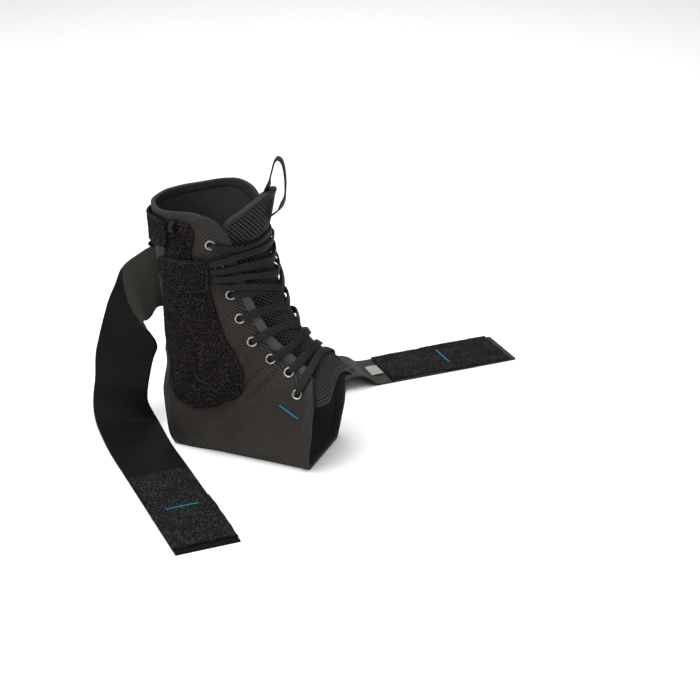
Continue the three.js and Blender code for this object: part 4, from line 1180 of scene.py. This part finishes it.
strap = {
    "width": 50, "thickness": 1.8, "leaveHeight": 130, "tabLength": 113, "tabThickness": 2.0, "tabStep": 5,
    "onWall": 2.2, "onField": 3.5,
    "nearSewn": [[0.295, 0.812], [0.300, 0.870], [0.305, 0.935]],
    # X, Y, Z shares of the height where it leaves, its top edge's bearing and slope, width share
    "nearFall": [
        [0.000, 0.000, 0.000, 118, 76, 1.00], [-0.057, -0.060, -0.050, 150, 70, 1.00],
        [-0.094, -0.120, -0.086, 168, 61, 0.93], [-0.118, -0.150, -0.137, 176, 50, 0.75],
        [-0.122, -0.150, -0.220, 180, 36, 0.85], [-0.130, -0.138, -0.315, 182, 20, 0.95],
        [-0.151, -0.128, -0.404, 184, 8, 1.00], [-0.190, -0.118, -0.518, 185, -1, 1.00],
        [-0.230, -0.098, -0.703, 178, -3, 1.00], [-0.256, -0.080, -0.833, 181, -3, 1.00],
        [-0.230, -0.100, -0.921, 195, -2, 1.00], [-0.175, -0.145, -0.975, 210, -1, 1.00],
    ],
    "nearFloor": (-83.3, -45.3), "nearBearing": -45.8, "nearRun": 47,
    "farSewn": [[0.400, 0.600], [0.455, 0.600]],
    "farFall": [
        [-0.012, 0.050, -0.145, 0, 0, 1], [-0.026, 0.112, -0.340, -1, 0, 1],
        [-0.016, 0.200, -0.563, -5, 0, 1], [0.042, 0.325, -0.757, -14, 0, 1],
        [0.139, 0.473, -0.903, -24, 0, 1], [0.255, 0.609, -0.966, -34, 0, 1],
        [0.370, 0.706, -0.961, -42, 1, 1], [0.469, 0.788, -0.942, -45, 2, 1],
        [0.572, 0.879, -0.908, -46, 2, 1], [0.656, 0.959, -0.898, -46, 3, 1],
        [0.713, 1.013, -0.932, -46, 1, 1],
    ],
    "farFloor": (36, 148.4), "farBearing": 44.3, "farRun": 13, "tackPlace": 0.52,
    "creaseStation": 6.0, "creaseSlant": -0.022,
}


def directionOf(bearing, slope=0):
    turn, tilt = math.radians(bearing), math.radians(slope)
    return np.array([math.cos(turn) * math.cos(tilt), math.sin(turn) * math.cos(tilt), math.sin(tilt)])


def strapPath(sewn, upright, level, root, fall, floorPoint, bearing, edgeTurn, run):
    middles, edges, widths = [], [], []
    for along, around in sewn:
        middles.append(skin(np.array(along), np.array(around), level))
        slope = formSlopes(np.array(along), np.array(around))[0 if upright else 1]
        edges.append(-slope / np.linalg.norm(slope))
    for x, y, z, turn, slope, share in fall:
        middles.append(root + np.array([x, y, z]) * root[2])
        edges.append(directionOf(turn, slope))
        widths.append(strap["width"] * share)
    way = directionOf(bearing)
    start = np.array([*floorPoint, strap["thickness"] / 2])
    length = run + strap["tabLength"] + strap["tabStep"]
    for share in (0, 0.25, 0.5, 0.75, 1):
        middles.append(start + way * length * share)
        edges.append(directionOf(bearing + edgeTurn))
    widths = [strap["width"]] * len(sewn) + widths + [strap["width"]] * 5
    return np.array(middles), np.array(edges), np.array(widths)


def strapShape(seed, length, flatFrom, crease):
    def shape(u, x, y):
        calm = 1 - smoothStep(flatFrom - 0.12, flatFrom, u)
        wave = 0.55 * ripple(u * length / 22, x * 1.3, seed) * calm
        edge = 0.16 * np.sin(u * length / 2.4 * 2 * np.pi) * np.abs(x) ** 8 * calm
        ribs = 0.05 * np.cos(x * 21 * np.pi) * np.sign(y)
        fold = 0.9 * np.exp(-(((u - crease - strap["creaseSlant"] * x) * length / 2.2) ** 2)) if crease else 0
        return wave + edge + ribs + fold
    return shape


def addStrap(name, node, middles, edges, widths, run, seed, outerFirst, creaseStation=0.0):
    steps = np.linalg.norm(np.diff(middles, axis=0), axis=1)
    length = steps.sum()
    reached = np.concatenate([[0], np.cumsum(steps)]) / length
    crease = np.interp(creaseStation, np.arange(len(reached)), reached)
    flat = 1 - (run + strap["tabLength"] + strap["tabStep"]) / length
    mesh = ribbonMesh(middles, edges, widths, strap["thickness"], int(length / 1.5), 44,
                      strapShape(seed, length, flat, crease), roundness=0.035)
    packed, _ = alongPath(np.column_stack([middles, edges]), np.linspace(0, 1, 400))
    way = np.gradient(packed[:, :3], axis=0)
    faceWay = np.cross(packed[:, 3:6], way)
    faceWay /= np.linalg.norm(faceWay, axis=1, keepdims=True)
    for face in mesh.faces:
        centre = np.array(face.calc_center_median()) / mm
        i = np.argmin(((packed[:, :3] - centre) ** 2).sum(1))
        face.normal_update()
        onTop = float(np.dot(faceWay[i], np.array(face.normal))) > 0
        face.material_index = 0 if onTop == outerFirst else 1
    # painted light: faces on one side of the band take the olive copy, painted lighter as if turned up to the
    # light; the other side stays black
    sides = [materials["strap"], materials["olive"]]
    if crease:
        around = 2 * (widths.mean() + strap["thickness"])
        line = (crease * length * mm, strap["creaseSlant"] * length * mm, around * mm)
        # past the crease the black and the painted lit olive change places, a painted change from light to
        # shade at the fold
        sides = [elasticMaterial("creased_black", "strap", "olive", *line),
                 elasticMaterial("creased_paintedLitOlive", "olive", "strap", *line)]
    finishPiece(name, mesh, sides, [node])
    print(name, "is", round(length), "mm long")


def hookPatch(name, node, floorPoint, bearing, run, seed):
    # Hook tape on the floor run: ribbed, with uneven edges and a sideways step that widens it.
    length, width = strap["tabLength"], strap["width"]
    way, side = directionOf(bearing), directionOf(bearing + 90)
    start = np.array([*floorPoint, 0]) + way * run
    base = strap["thickness"] + 0.15

    def place(u, v):
        pick = np.random.default_rng(seed)
        edge = edgeRoll(u, v, length, width, 0.5)
        ribs = 0.28 * np.abs(np.sin(u * length / 1.7 * np.pi)) + pick.normal(0, 0.12, len(u))
        ragged = 0.5 * ripple(u * length / 4, v * 0 + 2, seed) * (np.abs(2 * v - 1) ** 12)
        step = 1.3 * smoothStep(0.415, 0.43, u) * (np.abs(2 * v - 1) ** 2) * np.sign(2 * v - 1)
        x = u * length + 0.5 * ripple(v * width / 4, u * 0, seed + 1) * (np.abs(2 * u - 1) ** 30)
        y = (v - 0.5) * (width - 2.4) + ragged * np.sign(2 * v - 1) + step
        z = base + strap["tabThickness"] * (0.25 + 0.65 * edge) + ribs * edge
        return start + way * x[:, None] + side * y[:, None] + np.array([0, 0, 1]) * z[:, None]

    mesh = gridMesh(int(length / 0.6), int(width / 0.8), place, (length, width), outward=straightUp)
    piece = finishPiece(name, mesh, [materials["hook"]], [node])
    giveWall(piece, strap["tabThickness"] * 0.8)


def barTack(name, node, start, end, normals, slot="tack_thread"):
    # Dense satin bar: many short threads laid across it.
    start, end = np.array(start, float), np.array(end, float)
    mesh = bmesh.new()
    way = end - start
    reach = np.linalg.norm(way)
    way /= reach
    count = int(reach / 0.55)
    for k in range(count + 1):
        share = k / count
        normal = Vector(normals[0] * (1 - share) + normals[1] * share).normalized()
        forward = Vector(way)
        side = normal.cross(forward).normalized()
        lean = (side + forward * (0.22 if k % 2 else -0.12)).normalized()
        turn = Matrix((forward, lean, normal)).transposed().to_4x4()
        wide = 0.92 + 0.14 * math.sin(2.3 * k)
        size = Matrix.Diagonal((0.36 * mm, wide * mm, 0.34 * mm, 1))
        move = Matrix.Translation(Vector(start + way * reach * share) * mm)
        bmesh.ops.create_icosphere(mesh, subdivisions=2, radius=1, matrix=move @ turn @ size)
    finishPiece(name, mesh, [materials["teal"]], [node])


def addStraps():
    root = np.array([-form["heelReach"] - 0.75, 3, strap["leaveHeight"]])
    path = strapPath(strap["nearSewn"], True, strap["onWall"], root, strap["nearFall"],
                     strap["nearFloor"], strap["nearBearing"], -90, strap["nearRun"])
    addStrap("near_elastic", "near_strap", *path, strap["nearRun"], 41, False, strap["creaseStation"])
    root = skin(np.array(0.455), np.array(0.600), strap["onField"])
    path = strapPath(strap["farSewn"], False, strap["onField"], root, strap["farFall"],
                     strap["farFloor"], strap["farBearing"], -90, strap["farRun"])
    addStrap("far_elastic", "far_strap", *path, strap["farRun"], 43, False)
    for word, floorPoint, bearing, run, seed in (
            ("near", strap["nearFloor"], strap["nearBearing"], strap["nearRun"], 51),
            ("far", strap["farFloor"], strap["farBearing"], strap["farRun"], 53)):
        hookPatch(f"{word}_hook_pile", f"{word}_hook_tab", floorPoint, bearing, run, seed)
        way, side = directionOf(bearing), directionOf(bearing + 90)
        level = strap["thickness"] + strap["tabThickness"] + 0.35
        middle = np.array([*floorPoint, level]) + way * (run + strap["tabLength"] * strap["tackPlace"])
        up = np.array([0, 0, 1.0])
        ends = (middle - side * 12.5, middle + side * 12.5)
        barTack(f"{word}_tab_tack", f"{word}_tab_bar_tack", *ends, (up, up))
    ends = [(0.878, -0.449), (0.952, -0.482)]
    points = [skin(np.array(a), np.array(r), 0.45) for a, r in ends]
    normals = [formNormal(np.array(a), np.array(r)) for a, r in ends]
    barTack("quarter_tack", "quarter_bar_tack", points[0], points[1], normals)
    addLabel()


def addLabel():
    way = directionOf(strap["farBearing"])
    side = directionOf(strap["farBearing"] + 90)
    start = np.array([*strap["farFloor"], 0]) + way * (strap["farRun"] - 12)
    low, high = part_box("care_label")

    def place(u, v):
        x = u * 11
        z = low[2] / mm + 0.15 + 0.5 * np.sin(u * 2.6) + 0.15 * ripple(u * 3, v * 3, 9)
        y = (v - 0.5) * 17
        return start + way * x[:, None] + side * y[:, None] + np.array([0, 0, 1]) * z[:, None]

    mesh = gridMesh(22, 30, place, (11, 17), outward=straightUp)
    piece = finishPiece("bare_label", mesh, [materials["label"]], ["care_label"])
    giveWall(piece, 0.3)


# Small tape loops

loops = {
    "bowRise": 26.5, "width": 9, "thickness": 1.3, "turn": 108,
    "bow": [
        [-0.18, 0.14], [-0.12, 0.36], [-0.04, 0.64], [0.03, 0.88], [0.14, 1.00], [0.26, 0.92], [0.33, 0.68],
        [0.36, 0.31], [0.34, -0.03], [0.27, -0.28], [0.17, -0.50],
    ],
    "behind": [0.083, 0.044, 0.012], "before": [0.125],
}


def addPullLoop():
    tip = formPoint(np.array(tongue["half"][0][0]), np.array(0.0))
    half = loops["thickness"] / 2
    behind = -tongue["sink"] - tongue["thickness"] - 0.8 - half
    before = -tongue["sink"] + 0.8 + half

    def onTongue(step, level):
        along = np.array(tongue["half"][0][0] + step)
        return formPoint(along, 0) + formNormal(along, 0) * level

    middles = [onTongue(step, behind) for step in loops["behind"]]
    middles += [tip + np.array([x, 0, z]) * loops["bowRise"] for x, z in loops["bow"]]
    middles += [onTongue(step, before) for step in loops["before"]]
    turns = [90] * 4 + [loops["turn"]] * (len(middles) - 7) + [90] * 3
    edges = np.array([directionOf(turn) for turn in turns])
    middles = np.array(middles)
    mesh = ribbonMesh(middles, edges, loops["width"], loops["thickness"], 150, 16, roundness=0.15)
    finishPiece("pull_tape", mesh, [materials["smallTape"]], ["pull_loop"])


def tapeArch(name, node, foot, otherFoot, level, height, width):
    start, end = skin(*map(np.array, foot), level), skin(*map(np.array, otherFoot), level)
    normal = formNormal(*map(np.array, foot))
    edge = np.cross(normal, end - start)
    edge /= np.linalg.norm(edge)
    share = np.linspace(0, 1, 13)
    middles = (start + (end - start) * ((1 - np.cos(np.pi * share)) / 2)[:, None]
               + normal * (height * np.sin(np.pi * share))[:, None])
    mesh = ribbonMesh(middles, np.tile(edge, (13, 1)), width, 1.3, 60, 10, roundness=0.3)
    finishPiece(name, mesh, [materials["smallTape"]], [node])


def addSmallLoops():
    tapeArch("cuff_tape", "cuff_loop", (-0.002, -0.578), (0.040, -0.572), 2.1, 5, 4)
    tapeArch("keeper_tape", "strap_keeper", (0.160, -0.995), (0.186, -0.995), 0.3, 9, 8)


materials = {
    "nylon": nylonMaterial(),
    "lining": tapeMaterial("brushed_lining", "liningDark", "liningLight", 0.0009, 0.8),
    "tape": tapeMaterial("binding_tape", "tapeDark", "tapeLight"),
    "gapTape": tapeMaterial("gap_tape", "gapTapeDark", "gapTapeLight"),
    "smallTape": tapeMaterial("ribbed_tape", "laceDark", "tapeDark", 0.0011),
    "mesh": meshMaterial(),
    "lace": tapeMaterial("braided_lace", "laceDark", "laceLight", 0.0012, 0.5),
    "pile": pileMaterial("loop_pile", "pileDark", "pileLight", 0.0023),
    "tabPile": pileMaterial("tab_pile", "tabDark", "tabLight", 0.0021),
    "strap": tapeMaterial("black_elastic", "strapDark", "strapLight", 0.0012, math.pi / 2, 0.03),
    # the olive elastic is painted light: a lighter copy of the strap's elastic for faces turned up to the
    # light
    "olive": tapeMaterial("paintedLitOlive_elastic", "oliveDark", "oliveLight", 0.0009, math.pi / 2),
    "hook": pileMaterial("hook_pile", "hookDark", "hookLight", 0.0018, 0.0024),
    "teal": threadMaterial("teal_thread", finishes["teal"], finishes["tealLight"]),
    "darkThread": threadMaterial("dark_thread", finishes["threadDark"], finishes["laceLight"]),
    "greyThread": threadMaterial("grey_thread", finishes["laceLight"], finishes["tapeLight"]),
    "nickel": nickelMaterial(),
    "label": labelMaterial(),
}

addShell()
print("shell is sewn")
addBindings()
print("bindings are folded over the edges")
addTongue()
print("tongue is padded")
addRings()
addLaces()
print("rings and laces are in")
addPatches()
print("loop fields and tabs are on")
addStraps()
addPullLoop()
addSmallLoops()
print("straps, loops and bar tacks are on")
